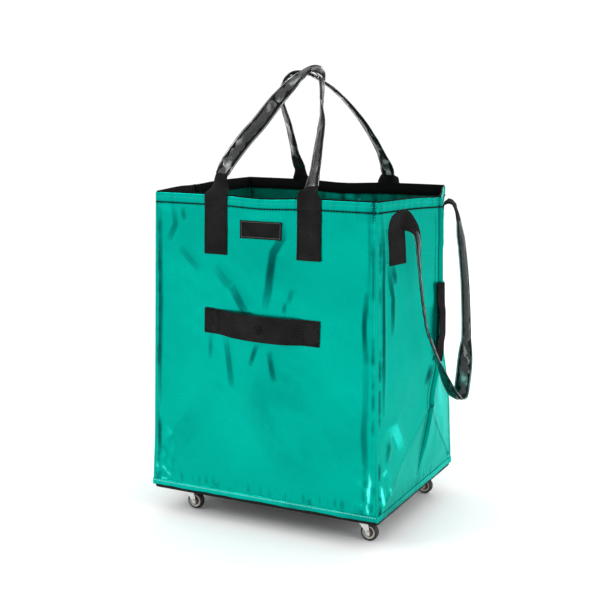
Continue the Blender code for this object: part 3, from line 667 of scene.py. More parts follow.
class Shading:
    """The nodes of one material or world. Inputs are named with their spaces as underscores."""

    def __init__(self, owner, shader="Principled BSDF", **settings):
        self.owner = owner
        owner.use_nodes = True
        self.tree = owner.node_tree
        self.shader = self.tree.nodes[shader]
        self.places = self.add("ShaderNodeTexCoord").outputs
        self.set(**settings)

    def feed(self, socket, value):
        """Link a node's output to an input, or give the input a value of its own."""
        if isinstance(value, bpy.types.NodeSocket):
            self.tree.links.new(value, socket)
        else:
            socket.default_value = value

    def set(self, **settings):
        for key, value in settings.items():
            self.feed(self.shader.inputs[key.replace("_", " ")], value)

    def add(self, kind, *values, **settings):
        """Add a node. values go to its inputs in their order, settings by their names."""
        made = self.tree.nodes.new(kind)
        for key, value in settings.items():
            if hasattr(made, key):
                setattr(made, key, value)
            else:
                self.feed(made.inputs[key.replace("_", " ")], value)
        for socket, value in zip(made.inputs, values):
            self.feed(socket, value)
        return made

    def maths(self, operation, *values):
        return self.add("ShaderNodeMath", *values, operation=operation).outputs[0]

    def ramp(self, factor, *points):
        made = self.add("ShaderNodeValToRGB", factor)
        band = made.color_ramp
        while len(band.elements) < len(points):
            band.elements.new(0.5)
        for element, (place, colour) in zip(band.elements, points):
            element.position = place
            element.color = (*colour, 1.0)
        return made.outputs[0]

    def spread(self, factor, low_end, high_end):
        """Turn a 0 to 1 socket into a number between two ends."""
        return self.maths("MULTIPLY_ADD", factor, high_end - low_end, low_end)

    def noise(self, scale, detail=3.0, rough=0.5):
        return self.add("ShaderNodeTexNoise", Vector=self.places["Object"], Scale=scale, Detail=detail,
                        Roughness=rough).outputs[0]

    def weave(self, scale, distortion):
        """Fine waves along all three axes, so that the weave shows whichever way the cloth faces."""
        total = 0.0
        for direction in ("X", "Y", "Z"):
            wave = self.add("ShaderNodeTexWave", bands_direction=direction, Vector=self.places["Object"],
                            Scale=scale, Distortion=distortion, Detail=1.0)
            total = self.maths("ADD", wave.outputs[1], total)
        return total

    def bump(self, height, distance, strength, **under):
        made = self.add("ShaderNodeBump", Height=height, Distance=distance, Strength=strength, **under)
        return made.outputs[0]


def new_material(name, **settings):
    return Shading(bpy.data.materials.new(name), **settings)


def film_cloth(name, bright, painted_shading, painted_highlight, rough, mottle=0.07):
    """Metallic film laminated on woven cloth: glossy, with fine crazing and a faint weave.
    Its colour runs from a painted highlight to a painted shade, as the cloth's point attribute says.
    """
    shade = new_material(name, Metallic=0.82, Specular_Tint=(0.0, 1.0, 0.92, 1.0), Specular_IOR_Level=0.2)
    place = shade.places["Object"]
    painted_light = shade.add("ShaderNodeAttribute", attribute_name="painted_light")
    blotch = shade.noise(7.0, 5.0, 0.6)
    level = shade.maths("MULTIPLY_ADD", painted_light.outputs["Fac"], 0.5, 0.5)
    level = shade.maths("ADD", level, shade.spread(blotch, -mottle, mottle))
    level = shade.maths("ADD", level, shade.spread(shade.noise(55.0, 5.0, 0.6), -0.035, 0.035))
    # The colour runs from the painted highlight through two teals to the painted shade
    colour = shade.ramp(level, (0.0, painted_highlight), (0.30, tinted(bright, 1.06)), (0.56, tinted(bright, 0.88)),
                        (0.93, painted_shading))
    swirl = shade.add("ShaderNodeTexNoise", Vector=place, Scale=14.0, Detail=3.0)
    bent = shade.add("ShaderNodeVectorMath", swirl.outputs["Color"], (0.05, 0.05, 0.05), place,
                     operation="MULTIPLY_ADD")
    craze = shade.add("ShaderNodeTexVoronoi", feature="DISTANCE_TO_EDGE", Vector=bent.outputs[0],
                      Scale=46.0, Randomness=1.0)
    lines = shade.maths("SMOOTH_MIN", craze.outputs["Distance"], 0.10, 0.06)
    patches = shade.maths("MULTIPLY", lines, shade.maths("GREATER_THAN", blotch, 0.40))
    crazed = shade.bump(patches, 0.0010, 0.12)
    both = shade.maths("MULTIPLY_ADD", shade.noise(120.0, 4.0, 0.6), 2.0, shade.weave(210.0, 0.6))
    shade.set(Base_Color=colour, Roughness=shade.spread(blotch, rough - 0.06, rough + 0.08),
              Normal=shade.bump(both, 0.00006, 0.5, Normal=crazed))
    return shade.owner


def webbing(name, thread, ridge_highlight, pitch=0.0040, slant=0.8):
    """Twill webbing: slanting ridges across the strap, with painted highlights on their crests and painted
    shade in the grooves between them. UVs are in metres.
    """
    shade = new_material(name, Roughness=0.86, Sheen_Weight=0.02, Sheen_Roughness=0.5,
                         Specular_IOR_Level=0.10)
    uv = shade.add("ShaderNodeUVMap", uv_map="Along")
    along, across, _ = shade.add("ShaderNodeSeparateXYZ", uv.outputs[0]).outputs
    phase = shade.maths("DIVIDE", shade.maths("MULTIPLY_ADD", across, slant, along), pitch)
    ridge = shade.maths("MULTIPLY", shade.maths("PINGPONG", phase, 0.5), 2.0)
    yarn = shade.maths("PINGPONG", shade.maths("DIVIDE", across, 0.0021), 0.5)
    height = shade.maths("MULTIPLY_ADD", yarn, 0.5, ridge)
    height = shade.maths("MULTIPLY_ADD", shade.noise(900.0, 3.0, 0.7), 0.7, height)
    wear = shade.spread(shade.noise(24.0, 4.0), -0.10, 0.10)
    level = shade.maths("MULTIPLY_ADD", height, 0.36, wear)
    # The ramp paints shade in the grooves and a highlight on the ridges' crests
    shade.set(Base_Color=shade.ramp(level, (0.24, tinted(thread, 0.45)), (0.42, thread), (0.66, ridge_highlight)),
              Normal=shade.bump(height, 0.00045, 0.9))
    return shade.owner


def woven(name, thread, scale=330.0):
    shade = new_material(name, Roughness=0.9, Sheen_Weight=0.04, Specular_IOR_Level=0.12)
    fuzz = shade.spread(shade.noise(500.0, 3.0, 0.7), 0.0, 0.35)
    level = shade.maths("MULTIPLY_ADD", shade.weave(scale, 0.8), 0.22, fuzz)
    shade.set(Base_Color=shade.ramp(level, (0.15, tinted(thread, 0.5)), (0.55, thread),
                                    (0.95, tinted(thread, 2.4, 0.004))),
              Normal=shade.bump(level, 0.0004, 0.8))
    return shade.owner


def clear_film(name, thin=(0.24, 0.25, 0.25), painted_patch_colour=(0.92, 0.94, 0.94), gloss=0.8):
    """Soft clear vinyl, slightly hazy, with random paler patches of painted highlight."""
    shade = new_material(name, IOR=1.5, Specular_IOR_Level=gloss)
    # Random patches, less clear and paler, are painted highlights
    painted_highlight_patches = shade.add("ShaderNodeMapRange", Value=shade.noise(34.0, 2.0, 0.5), From_Min=0.56,
                      From_Max=0.74).outputs[0]
    shade.set(Base_Color=shade.ramp(painted_highlight_patches, (0.0, thin), (1.0, painted_patch_colour)),
              Transmission_Weight=shade.spread(painted_highlight_patches, 0.93, 0.45),
              Roughness=shade.spread(shade.noise(60.0, 4.0, 0.6), 0.03, 0.16),
              Normal=shade.bump(shade.noise(170.0, 3.0, 0.5), 0.0005, 0.35))
    return shade.owner


def thread_finish(name, colour, rough=0.6, gloss=0.5):
    shade = new_material(name, Specular_IOR_Level=gloss)
    twist = shade.noise(1400.0, 2.0)
    shade.set(Base_Color=shade.ramp(twist, (0.3, tinted(colour, 0.6)), (0.7, colour)),
              Roughness=shade.spread(twist, rough - 0.1, rough + 0.1),
              Normal=shade.bump(twist, 0.0002, 0.6))
    return shade.owner


def metal(name, colour, rough):
    shade = new_material(name, Metallic=1.0)
    grain = shade.noise(160.0, 5.0, 0.65)
    mixed = shade.maths("MULTIPLY_ADD", grain, 0.5, shade.maths("MULTIPLY", shade.noise(30.0, 4.0), 0.5))
    shade.set(Base_Color=shade.ramp(mixed, (0.30, tinted(colour, 0.62)), (0.62, colour)),
              Roughness=shade.spread(mixed, rough - 0.10, rough + 0.14),
              Normal=shade.bump(grain, 0.00025, 0.3))
    return shade.owner


def plastic(name, colour, rough):
    shade = new_material(name)
    dust = shade.noise(22.0, 4.0)
    shade.set(Base_Color=shade.ramp(dust, (0.35, colour), (0.80, tinted(colour, 1.5, 0.006))),
              Roughness=shade.spread(dust, rough - 0.08, rough + 0.10),
              Normal=shade.bump(shade.noise(420.0, 4.0, 0.6), 0.00020, 0.5))
    return shade.owner


STEEL, BROWN, CREAM = (0.42, 0.42, 0.41), (0.085, 0.040, 0.026), (0.50, 0.49, 0.43)
HUB_RADIUS = 0.0125


def wheel_centre(name, x, z):
    """Rings of a caster wheel about its axle: a brown ring inside a cream moulded one, round a steel middle.
    """
    shade = new_material(name, Roughness=0.42)
    off_x, _, off_z = shade.add("ShaderNodeSeparateXYZ", shade.places["Object"]).outputs
    flat = shade.add("ShaderNodeCombineXYZ", shade.maths("SUBTRACT", off_x, x), 0.0,
                     shade.maths("SUBTRACT", off_z, z))
    radius = shade.add("ShaderNodeVectorMath", flat.outputs[0], operation="LENGTH").outputs["Value"]
    uneven = shade.spread(shade.noise(300.0, 3.0), -0.012, 0.012)
    share = shade.maths("ADD", shade.maths("DIVIDE", radius, HUB_RADIUS), uneven)
    shade.set(Base_Color=shade.ramp(share, (0.28, STEEL), (0.34, BROWN), (0.66, BROWN), (0.70, CREAM),
                                    (0.98, CREAM)),
              Normal=shade.bump(shade.noise(500.0, 3.0), 0.0002, 0.4))
    return shade.owner


# The cloth's teal, then the colour of its painted shade and the colour of its painted highlights
TEAL = (0.0, 0.385, 0.296)
TEAL_PAINTED_SHADE = (0.0, 0.070, 0.062)
TEAL_PAINTED_HIGHLIGHT = (0.10, 1.000, 0.900)
film = film_cloth("film_cloth", TEAL, TEAL_PAINTED_SHADE, TEAL_PAINTED_HIGHLIGHT, 0.26)
# The hem is the same coated cloth given a brighter teal as a painted highlight; its wide mottle spreads
# random patches of painted highlight and painted shade colour
hem_film = film_cloth("hem_film", (0.0, 0.42, 0.335), TEAL_PAINTED_SHADE, TEAL_PAINTED_HIGHLIGHT, 0.22, mottle=0.60)
black_web = webbing("black_webbing", (0.0024, 0.0024, 0.0025), (0.085, 0.083, 0.082))
rim_web = webbing("rim_webbing_cloth", (0.0024, 0.0026, 0.0027), (0.016, 0.016, 0.016), pitch=0.0026)
black_cloth = woven("black_cloth", (0.0080, 0.0080, 0.0082))
label_cloth = woven("label_cloth", (0.0050, 0.0050, 0.0050), scale=520.0)
vinyl = clear_film("clear_vinyl")
# The pull strap's sleeve is tinted teal all over, a painted reflection of the teal cloth beside it
teal_reflection_vinyl = clear_film("clear_vinyl_painted_reflection", (0.012, 0.125, 0.112), (0.20, 0.62, 0.56), 0.26)
black_thread = thread_finish("black_thread", (0.003, 0.004, 0.004), rough=0.8, gloss=0.08)
teal_thread = thread_finish("teal_thread", (0.02, 0.62, 0.54), rough=0.45)
pale_thread = thread_finish("pale_thread", (0.42, 0.92, 0.86), rough=0.35)
grey_thread = thread_finish("grey_thread", (0.20, 0.20, 0.20))
stud_metal = metal("stud_metal", (0.012, 0.012, 0.013), 0.34)
rail_steel = metal("rail_steel", (0.035, 0.035, 0.037), 0.45)
zinc_finish = metal("zinc_plate", (0.76, 0.76, 0.75), 0.32)
tyre_rubber = plastic("tyre_rubber", (0.010, 0.010, 0.011), 0.62)
board_plastic = plastic("board_plastic", (0.012, 0.012, 0.012), 0.55)


# The bag

shell = bag_shell(film)
belong(shell, "bag", "coated_cloth", "front_panel", "back_panel", "left_panel", "right_panel",
       "left_crease_seam", "right_crease_seam", "corner_seam_front_left", "corner_seam_front_right",
       "corner_seam_back_left", "corner_seam_back_right")

RIM_TAPE_LIFT = -PANEL - 0.0004
RIM_TAPE_PROFILE = ((0.5850, -0.0014), (0.5850, 0.0), (0.595, 0.0), (0.6066, 0.0), (0.6074, -0.0004),
                    (0.6074, -0.0010), (0.6066, -0.0015), (0.595, -0.0016))
rim_tape = band("rim_tape", [(z, RIM_TAPE_LIFT + lift) for z, lift in RIM_TAPE_PROFILE], rim_web)
belong(rim_tape, "bag", "black_webbing", "rim_webbing")

HEM_PROFILE = ((0.0546, 0.0003), (0.0541, 0.0008), (0.0546, 0.0013), (0.0562, 0.0015), (0.0592, 0.0016),
               (0.0620, 0.0015), (0.0642, 0.0012), (0.0655, 0.0007), (0.0653, 0.0003), (0.0600, 0.0003))
hem = band("hem_band", HEM_PROFILE, hem_film, wave=0.0004)
belong(hem, "bag", "coated_cloth", "base_hem")


def rounded_ring(half_x, half_y, radius, steps=7, gap=0.009):
    """Points round a level rectangle with round corners, no more than two gaps apart."""
    points = []
    for cx, cy, start in ((1, 1, 0), (-1, 1, 90), (-1, -1, 180), (1, -1, 270)):
        for k in range(steps):
            angle = math.radians(start + 90 * k / (steps - 1))
            points.append(np.array([(half_x - radius) * cx + radius * math.cos(angle),
                                    (half_y - radius) * cy + radius * math.sin(angle), 0.0]))
    dense = []
    for a, b in zip(points, points[1:] + points[:1]):
        count = max(1, int(np.linalg.norm(b - a) / gap))
        dense += [a + (b - a) * k / count for k in range(count)]
    return np.array(dense)


def base_tray():
    """The black fabric tray under the base: an upright wall with a rounded foot, and its underside."""
    wide, deep = BASE_HALF[0] + 0.0008, BASE_HALF[1] + 0.0006
    # (share of the full outline, inset, height), from the middle of the top side out and under to the middle
    profile = ((0.02, 0.0, 0.0512), (0.5, 0.0, 0.0512), (1, 0.0120, 0.0512), (1, 0.0024, 0.0516),
               (1, 0.0018, 0.0530), (1, 0.0016, 0.0545), (1, 0.0015, 0.0552), (1, 0.0008, 0.0556),
               (1, 0.0, 0.0552), (1, -0.0003, 0.0532), (1, 0.0, 0.0500), (1, 0.0008, 0.0485),
               (1, 0.0022, 0.0478), (1, 0.0050, 0.0482), (1, 0.0090, 0.0494), (1, 0.0130, 0.0502),
               (0.5, 0.0, 0.0503), (0.02, 0.0, 0.0503))
    full = rounded_ring(wide, deep, 0.007)
    sway = ripples(77, 10, 0.03, 0.09)(lengths(full), 0.0)
    out = unit(full)
    loops = []
    for share, inset, z in profile:
        loop = full * np.array([share * (wide - inset) / wide, share * (deep - inset) / deep, 0.0])
        loop[:, 2] = z
        if share == 1 and inset < 0.0015 and z > 0.0505:
            loop = loop + out * 0.0003 * sway[:, None]
        loops.append(loop)
    return tube("base_tray", loops, black_cloth)


belong(base_tray(), "bag", "black_cloth", "base_cover")

FLOOR_Z = 0.0629
FLOOR_GAP = 0.0026
FLOOR_CLOTH = 0.0006


def inner_floor(columns=110, rows=90):
    """The lining cloth on the base board, turned up a little where it meets the walls."""
    wide, deep = half_width(0.0625) - FLOOR_GAP, half_depth(0.0625) - FLOOR_GAP
    y, x = np.meshgrid(np.linspace(-deep, deep, rows), np.linspace(-wide, wide, columns), indexing="ij")
    edge = np.minimum(wide - np.abs(x), deep - np.abs(y))
    unevenness = 0.0004 * ripples(90, 14, 0.05, 0.16)(x, y) * ease(0, 0.03, edge)
    z = FLOOR_Z + unevenness + 0.0022 * ease(0.010, 0.0, edge)
    item = make_mesh("inner_floor", np.stack([x, y, z], -1), grid_faces(rows, columns), film)
    thicken(item, FLOOR_CLOTH, 1.0)
    return item


liner = inner_floor()
belong(liner, "bag", "coated_cloth", "floor_liner")

# Stitching round the bag
topstitch, hem_rows, rim_rows, seam_rows = [], [], [], []
for face in range(4):
    half = float(half_span(face, TOPSTITCH_Z)) - 0.0010
    line = np.linspace(-half, half, 180)
    topstitch.append(on_cloth(face, line, TOPSTITCH_Z, 0.00035))
    rim_rows.append(on_cloth(face, line, RIM_STITCH_Z, 0.0001))
    half = float(half_span(face, HEM_STITCH_Z)) - 0.0010
    rows = hem_rows if face == FRONT else seam_rows
    rows.append(on_cloth(face, np.linspace(-half, half, 180), HEM_STITCH_Z, 0.00155))
for sign in (-1, 1):
    z = np.linspace(SEAM_LOW_Z, SEAM_HIGH_Z, 190)
    for face in range(4):
        seam_rows.append(on_cloth(face, sign * (half_span(face, z) - CORNER_SEAM_IN), z, 0.0001))
    z = np.linspace(CREASE_LOW_Z, SEAM_HIGH_Z, 190)
    for face in SIDE_BULGE:
        seam_rows.append(on_cloth(face, sign * CREASE_SEAM_OUT, z, 0.0001))


def sewn(name, runs, finish, slot_name, pitch, size, radius):
    belong(stitch_mesh(name, runs, finish, pitch, size, radius), "bag", slot_name)


sewn("rim_topstitch", topstitch, black_thread, "black_webbing", 0.0058, 0.0054, 0.00125)
sewn("rim_edge_stitches", rim_rows, teal_thread, "coated_cloth", 0.0050, 0.0028, 0.00030)
sewn("hem_stitches", hem_rows, pale_thread, "coated_cloth", 0.0052, 0.0036, 0.00055)
sewn("seam_stitches", seam_rows, teal_thread, "coated_cloth", 0.0048, 0.0030, 0.00034)


def sewn_down(name, runs, radius=0.00038):
    """The black stitches that hold a strap's end."""
    sewn(name, runs, black_thread, "black_webbing", 0.0036, 0.0027, radius)


# Carrying handles

ROUTES = {
    FRONT: ((-0.0917, 0.000, 0.606), (-0.0920, 0.011, 0.622), (-0.0915, 0.025, 0.641),
            (-0.0860, 0.042, 0.664), (-0.0685, 0.069, 0.701), (-0.0510, 0.088, 0.728),
            (-0.0350, 0.110, 0.759), (-0.0190, 0.128, 0.785), (-0.0020, 0.146, 0.808),
            (0.0140, 0.156, 0.822), (0.0290, 0.156, 0.824), (0.0430, 0.146, 0.812),
            (0.0520, 0.133, 0.791), (0.0620, 0.111, 0.761), (0.0740, 0.085, 0.724),
            (0.0810, 0.058, 0.687), (0.0860, 0.040, 0.661), (0.0905, 0.015, 0.627),
            (0.0917, 0.000, 0.606)),
    BACK: ((-0.0917, 0.000, 0.606), (-0.0935, 0.011, 0.622), (-0.0950, 0.027, 0.647),
           (-0.0920, 0.054, 0.688), (-0.0895, 0.075, 0.720), (-0.0890, 0.091, 0.743),
           (-0.0880, 0.106, 0.766), (-0.0800, 0.121, 0.789), (-0.0620, 0.133, 0.808),
           (-0.0380, 0.140, 0.818), (-0.0100, 0.138, 0.814), (0.0140, 0.127, 0.798),
           (0.0350, 0.115, 0.780), (0.0620, 0.091, 0.743), (0.0820, 0.062, 0.700),
           (0.0960, 0.032, 0.652), (0.0965, 0.015, 0.627), (0.0917, 0.000, 0.606)),
}
# Which way the strap's width runs, as (share of the loop, direction)
WIDTH_WAYS = {
    FRONT: ((0.0, (1, 0, 0)), (0.05, (1, 0, 0)), (0.13, (0.86, 0.16, -0.40)), (0.22, (0.74, 0.25, -0.61)),
            (0.36, (0.55, -0.15, -0.70)), (0.50, (0.15, -0.80, -0.55)), (0.66, (0.25, -0.85, 0.10)),
            (0.74, (0.70, -0.45, 0.40)), (0.92, (0.88, -0.25, 0.36)), (0.97, (1, 0, 0)), (1.0, (1, 0, 0))),
    BACK: ((0.0, (1, 0, 0)), (0.05, (1, 0, 0)), (0.12, (0.80, -0.58, 0.1)), (0.25, (0.72, -0.66, 0.1)),
           (0.5, (0.30, -0.90, 0.2)), (0.75, (0.72, -0.66, 0.1)), (0.88, (0.80, -0.58, 0.1)),
           (0.95, (1, 0, 0)), (1.0, (1, 0, 0))),
}
NECKS = {FRONT: (0.044, 0.024), BACK: (0.032, 0.026)}
HANDLE_X = 0.0917
TAB_LOW_Z = 0.500
TAB_HIGH_Z = 0.598
TAB_LIFT = 0.0011
TAB_BOX_Z = (0.503, 0.586)
TAB_CROSS_Z = 0.560
PATH_STEP = 0.0036


def handle_loop(face):
    foot = half_depth(RIM_Z) + 0.0024
    return smooth_path([(x, SIGN[face] * (foot - inward), z) for x, inward, z in ROUTES[face]], PATH_STEP)


def tab_line(face, x):
    """Where the sewn tab lies on the panel, from its lower end up to the rim."""
    z = np.arange(TAB_LOW_Z, TAB_HIGH_Z, PATH_STEP)
    sign = SIGN[face]
    beds = [surface(face, -sign * x + off, z) for off in (0.0, -0.015, 0.015)]
    reach = np.max([sign * bed[:, 1] for bed in beds], axis=0)
    return np.stack([0 * z + x, sign * (reach + TAB_LIFT), beds[0][:, 2]], 1)


def handle(prefix, face):
    body = f"{prefix}_handle"
    loop = handle_loop(face)
    left, right = tab_line(face, -HANDLE_X), tab_line(face, HANDLE_X)
    path = evenly(np.vstack([left, loop, right[::-1]]), PATH_STEP)
    for _ in range(4):
        path[1:-1] = 0.5 * path[1:-1] + 0.25 * (path[:-2] + path[2:])
    reach = lengths(path)
    tab = lengths(left)[-1] + np.linalg.norm(loop[0] - left[-1])
    place = np.clip((reach - tab) / (reach[-1] - 2 * tab), 0, 1)
    before, after = NECKS[face]
    from_left, from_right = reach - tab, reach[-1] - tab - reach
    fold = np.minimum(ease(-0.004, before - 0.004, from_left), ease(-0.004, after - 0.002, from_right))
    width = WEBBING_WIDTH + (FOLDED_WIDTH - WEBBING_WIDTH) * fold
    end = np.minimum(reach, reach[-1] - reach)
    thickness = WEBBING + 0.0022 * fold + 0.0016 * ease(0.011, 0.009, end) * (end > 0.0005)
    # The gathered neck cups as the two halves come together
    cup = 0.0085 * np.sin(math.pi * fold) ** 1.2 * -SIGN[face]
    across = ways_at(WIDTH_WAYS[face], place)
    strap = strap_mesh(f"{body}_strap", path, across, width, thickness, black_web, cup)
    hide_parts(f"{body}_tab_left", f"{body}_tab_right", f"{body}_webbing")
    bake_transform(strap)
    keep = (from_left > before - 0.006) & (from_right > after - 0.004)
    sleeve = sleeve_mesh(f"{body}_clear_sleeve", path[keep], across[keep], vinyl, 60 + face)
    belong(sleeve, body, "clear_vinyl", f"{body}_sleeve")
    runs = []
    for hand in (-1, 1):
        a = -SIGN[face] * hand * HANDLE_X
        a_ends = (a - BOX_HALF, a + BOX_HALF)
        sides = box_runs(face, a_ends, TAB_BOX_Z, 0.0027)[:4]
        cross = box_runs(face, a_ends, (TAB_CROSS_Z, TAB_BOX_Z[1]), 0.0027)[4:]
        runs += sides + cross
    sewn_down(f"{body}_tab_stitches", runs, 0.00036)


handle("front", FRONT)
handle("rear", BACK)


# Pull strap

PULL_ROUTE = ((0.2350, -0.1270, 0.5680), (0.2395, -0.1210, 0.5705), (0.2465, -0.1125, 0.5690),
              (0.2530, -0.1050, 0.5610), (0.2580, -0.1000, 0.5500), (0.2605, -0.0980, 0.5340),
              (0.2620, -0.0965, 0.504), (0.2670, -0.0920, 0.442), (0.2745, -0.0850, 0.382),
              (0.2835, -0.0720, 0.343), (0.2925, -0.0510, 0.301), (0.2980, -0.0290, 0.268),
              (0.3020, -0.0080, 0.246), (0.3035, 0.0080, 0.240), (0.3030, 0.0230, 0.247),
              (0.3000, 0.0440, 0.278), (0.2965, 0.0620, 0.312), (0.2930, 0.0740, 0.347),
              (0.2850, 0.0840, 0.432), (0.2760, 0.0890, 0.498), (0.2700, 0.0930, 0.5270),
              (0.2645, 0.0975, 0.5500), (0.2580, 0.1030, 0.5670), (0.2480, 0.1110, 0.5775),
              (0.2360, 0.1200, 0.5790), (0.2255, 0.1265, 0.5745))
PULL_WAYS = ((0.090, (0.15, 0.45, -0.88)),
             (0.110, (0.0, -0.45, -0.88)), (0.135, (0.0, -1.0, -0.1)), (0.20, (0.28, -0.96, 0)),
             (0.36, (0.45, -0.88, 0)), (0.44, (0.95, -0.30, -0.1)), (0.50, (1.0, 0.0, -0.1)),
             (0.56, (0.95, 0.30, -0.1)), (0.62, (0.35, 0.93, 0)), (0.82, (0.19, 0.98, 0)))
PULL_TAB_Y = 0.1275
PULL_TAB_LOW_Z = 0.497
PULL_TAB_HIGH_Z = {-1: 0.5685, 1: 0.5735}
PULL_TAB_LIFT = {-1: 0.0023, 1: 0.0044}  # the rear tab bridges the place where the cloth is drawn in
PULL_TAB_BOX_Z = (0.500, 0.558)
PULL_TAB = 0.076


def pull_tab_line(sign):
    z = np.arange(PULL_TAB_LOW_Z, PULL_TAB_HIGH_Z[sign], PATH_STEP)
    return surface(RIGHT, sign * PULL_TAB_Y, z, PULL_TAB_LIFT[sign])


def pull_strap():
    front, rear = pull_tab_line(-1), pull_tab_line(1)
    path = smooth_path(np.vstack([front[:-2:3], PULL_ROUTE, rear[-3::-3]]), PATH_STEP)
    reach = lengths(path)
    left_over = reach[-1] - reach
    fold = np.minimum(ease(PULL_TAB - 0.008, PULL_TAB + 0.036, reach),
                      ease(PULL_TAB - 0.006, PULL_TAB + 0.022, left_over))
    width = WEBBING_WIDTH + (FOLDED_WIDTH - WEBBING_WIDTH) * fold
    thickness = WEBBING + 0.0020 * fold + 0.0014 * ease(0.011, 0.009, np.minimum(reach, left_over))
    # Each tab lies the way the cloth under it does
    flat = [unit(surface(RIGHT, a + 0.018, 0.535) - surface(RIGHT, a - 0.018, 0.535))
            for a in (-PULL_TAB_Y, PULL_TAB_Y)]
    ways = ((0.0, flat[0]), (0.070, flat[0])) + PULL_WAYS + ((0.885, flat[1]), (1.0, flat[1]))
    across = ways_at(ways, reach / reach[-1])
    cup = 0.0040 * np.sin(math.pi * fold) ** 1.2
    strap = strap_mesh("pull_strap_loop", path, across, width, thickness, black_web, cup)
    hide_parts("pull_strap_tab_front", "pull_strap_tab_rear", "pull_strap_webbing")
    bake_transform(strap)
    keep = (reach > PULL_TAB + 0.036) & (left_over > PULL_TAB + 0.062)
    sleeve = sleeve_mesh("pull_strap_clear_sleeve", path[keep], across[keep], teal_reflection_vinyl, 71)
    belong(sleeve, "pull_strap", "clear_vinyl", "pull_strap_sleeve")
    strap.visible_glossy = False
    sleeve.visible_glossy = False
    runs = []
    for sign in (-1, 1):
        a_ends = (sign * PULL_TAB_Y - BOX_HALF, sign * PULL_TAB_Y + BOX_HALF)
        runs += box_runs(RIGHT, a_ends, PULL_TAB_BOX_Z, PULL_TAB_LIFT[sign] + 0.0009)
    sewn_down("pull_strap_tab_stitches", runs, 0.00036)


pull_strap()


# Grab straps

GRAB_HALF = 0.1145
GRAB_Z = 0.3768
GRAB_SLOPE = {FRONT: -0.0028, BACK: 0.0020}


def broad_grab(prefix, face):
    """The lifting strap across a broad panel: sewn at both ends, bowed off the cloth and sagging."""
    x = np.linspace(-GRAB_HALF, GRAB_HALF, 66)
    share = x / GRAB_HALF
    far = np.abs(share)
    sign, slope = SIGN[face], GRAB_SLOPE[face]
    z = GRAB_Z + slope * share - 0.0022 * np.cos(share * math.pi / 2) ** 2
    lift = 0.0014 + 0.0090 * ease(0.76, 0.42, far)
    beds = np.stack([surface(face, x, z + off, lift) for off in (0.0, 0.016, -0.016)])
    middle = beds[0].copy()
    middle[:, 1] = sign * np.max(sign * beds[:, :, 1], axis=0)
    ways = np.tile([0.0, 0.0, -1.0], (len(x), 1))
    ways[:, 1] = sign * 0.10 * ease(0.7, 0.2, far)
    thick = np.where(far > 0.90, WEBBING + 0.0014, WEBBING)
    strap = strap_mesh(f"{prefix}_grab_strap_cloth", middle, ways, np.full(len(x), WEBBING_WIDTH), thick,
                       black_web, 0.0010 * ease(0.7, 0.3, far))
    belong(strap, "bag", "black_webbing", f"{prefix}_grab_strap")
    runs = []
    for end in (-1, 1):
        centre = GRAB_Z + slope * end
        runs += box_runs(face, (end * 0.084, end * 0.111), (centre - BOX_HALF, centre + BOX_HALF), 0.0032)
    sewn_down(f"{prefix}_grab_strap_stitches", runs)
    return middle[len(x) // 2]


# The press stud's cap, as (radius, height)
STUD_PROFILE = ((0.0003, 0.0029), (0.0022, 0.00285), (0.0043, 0.0024), (0.0053, 0.0013), (0.0057, 0.0008),
                (0.0068, 0.0013), (0.0076, 0.0010), (0.0078, 0.0002), (0.0074, -0.0003), (0.0003, -0.0003))
stud_place = broad_grab("front", FRONT) + np.array([0.0, -0.0012, -0.001])
belong(lathe("grab_strap_stud", STUD_PROFILE, stud_metal, stud_place, (0.0, -1.0, 0.0)), "bag", "black_metal",
       "front_press_stud")
broad_grab("back", BACK)

SIDE_GRAB_MIDDLE = 0.0035
SIDE_GRAB_HALF = 0.0165
SIDE_GRAB_Z = (0.306, 0.450)
SIDE_GRAB_LIFT = 0.0014
SIDE_GRAB_SLOPE = 0.62


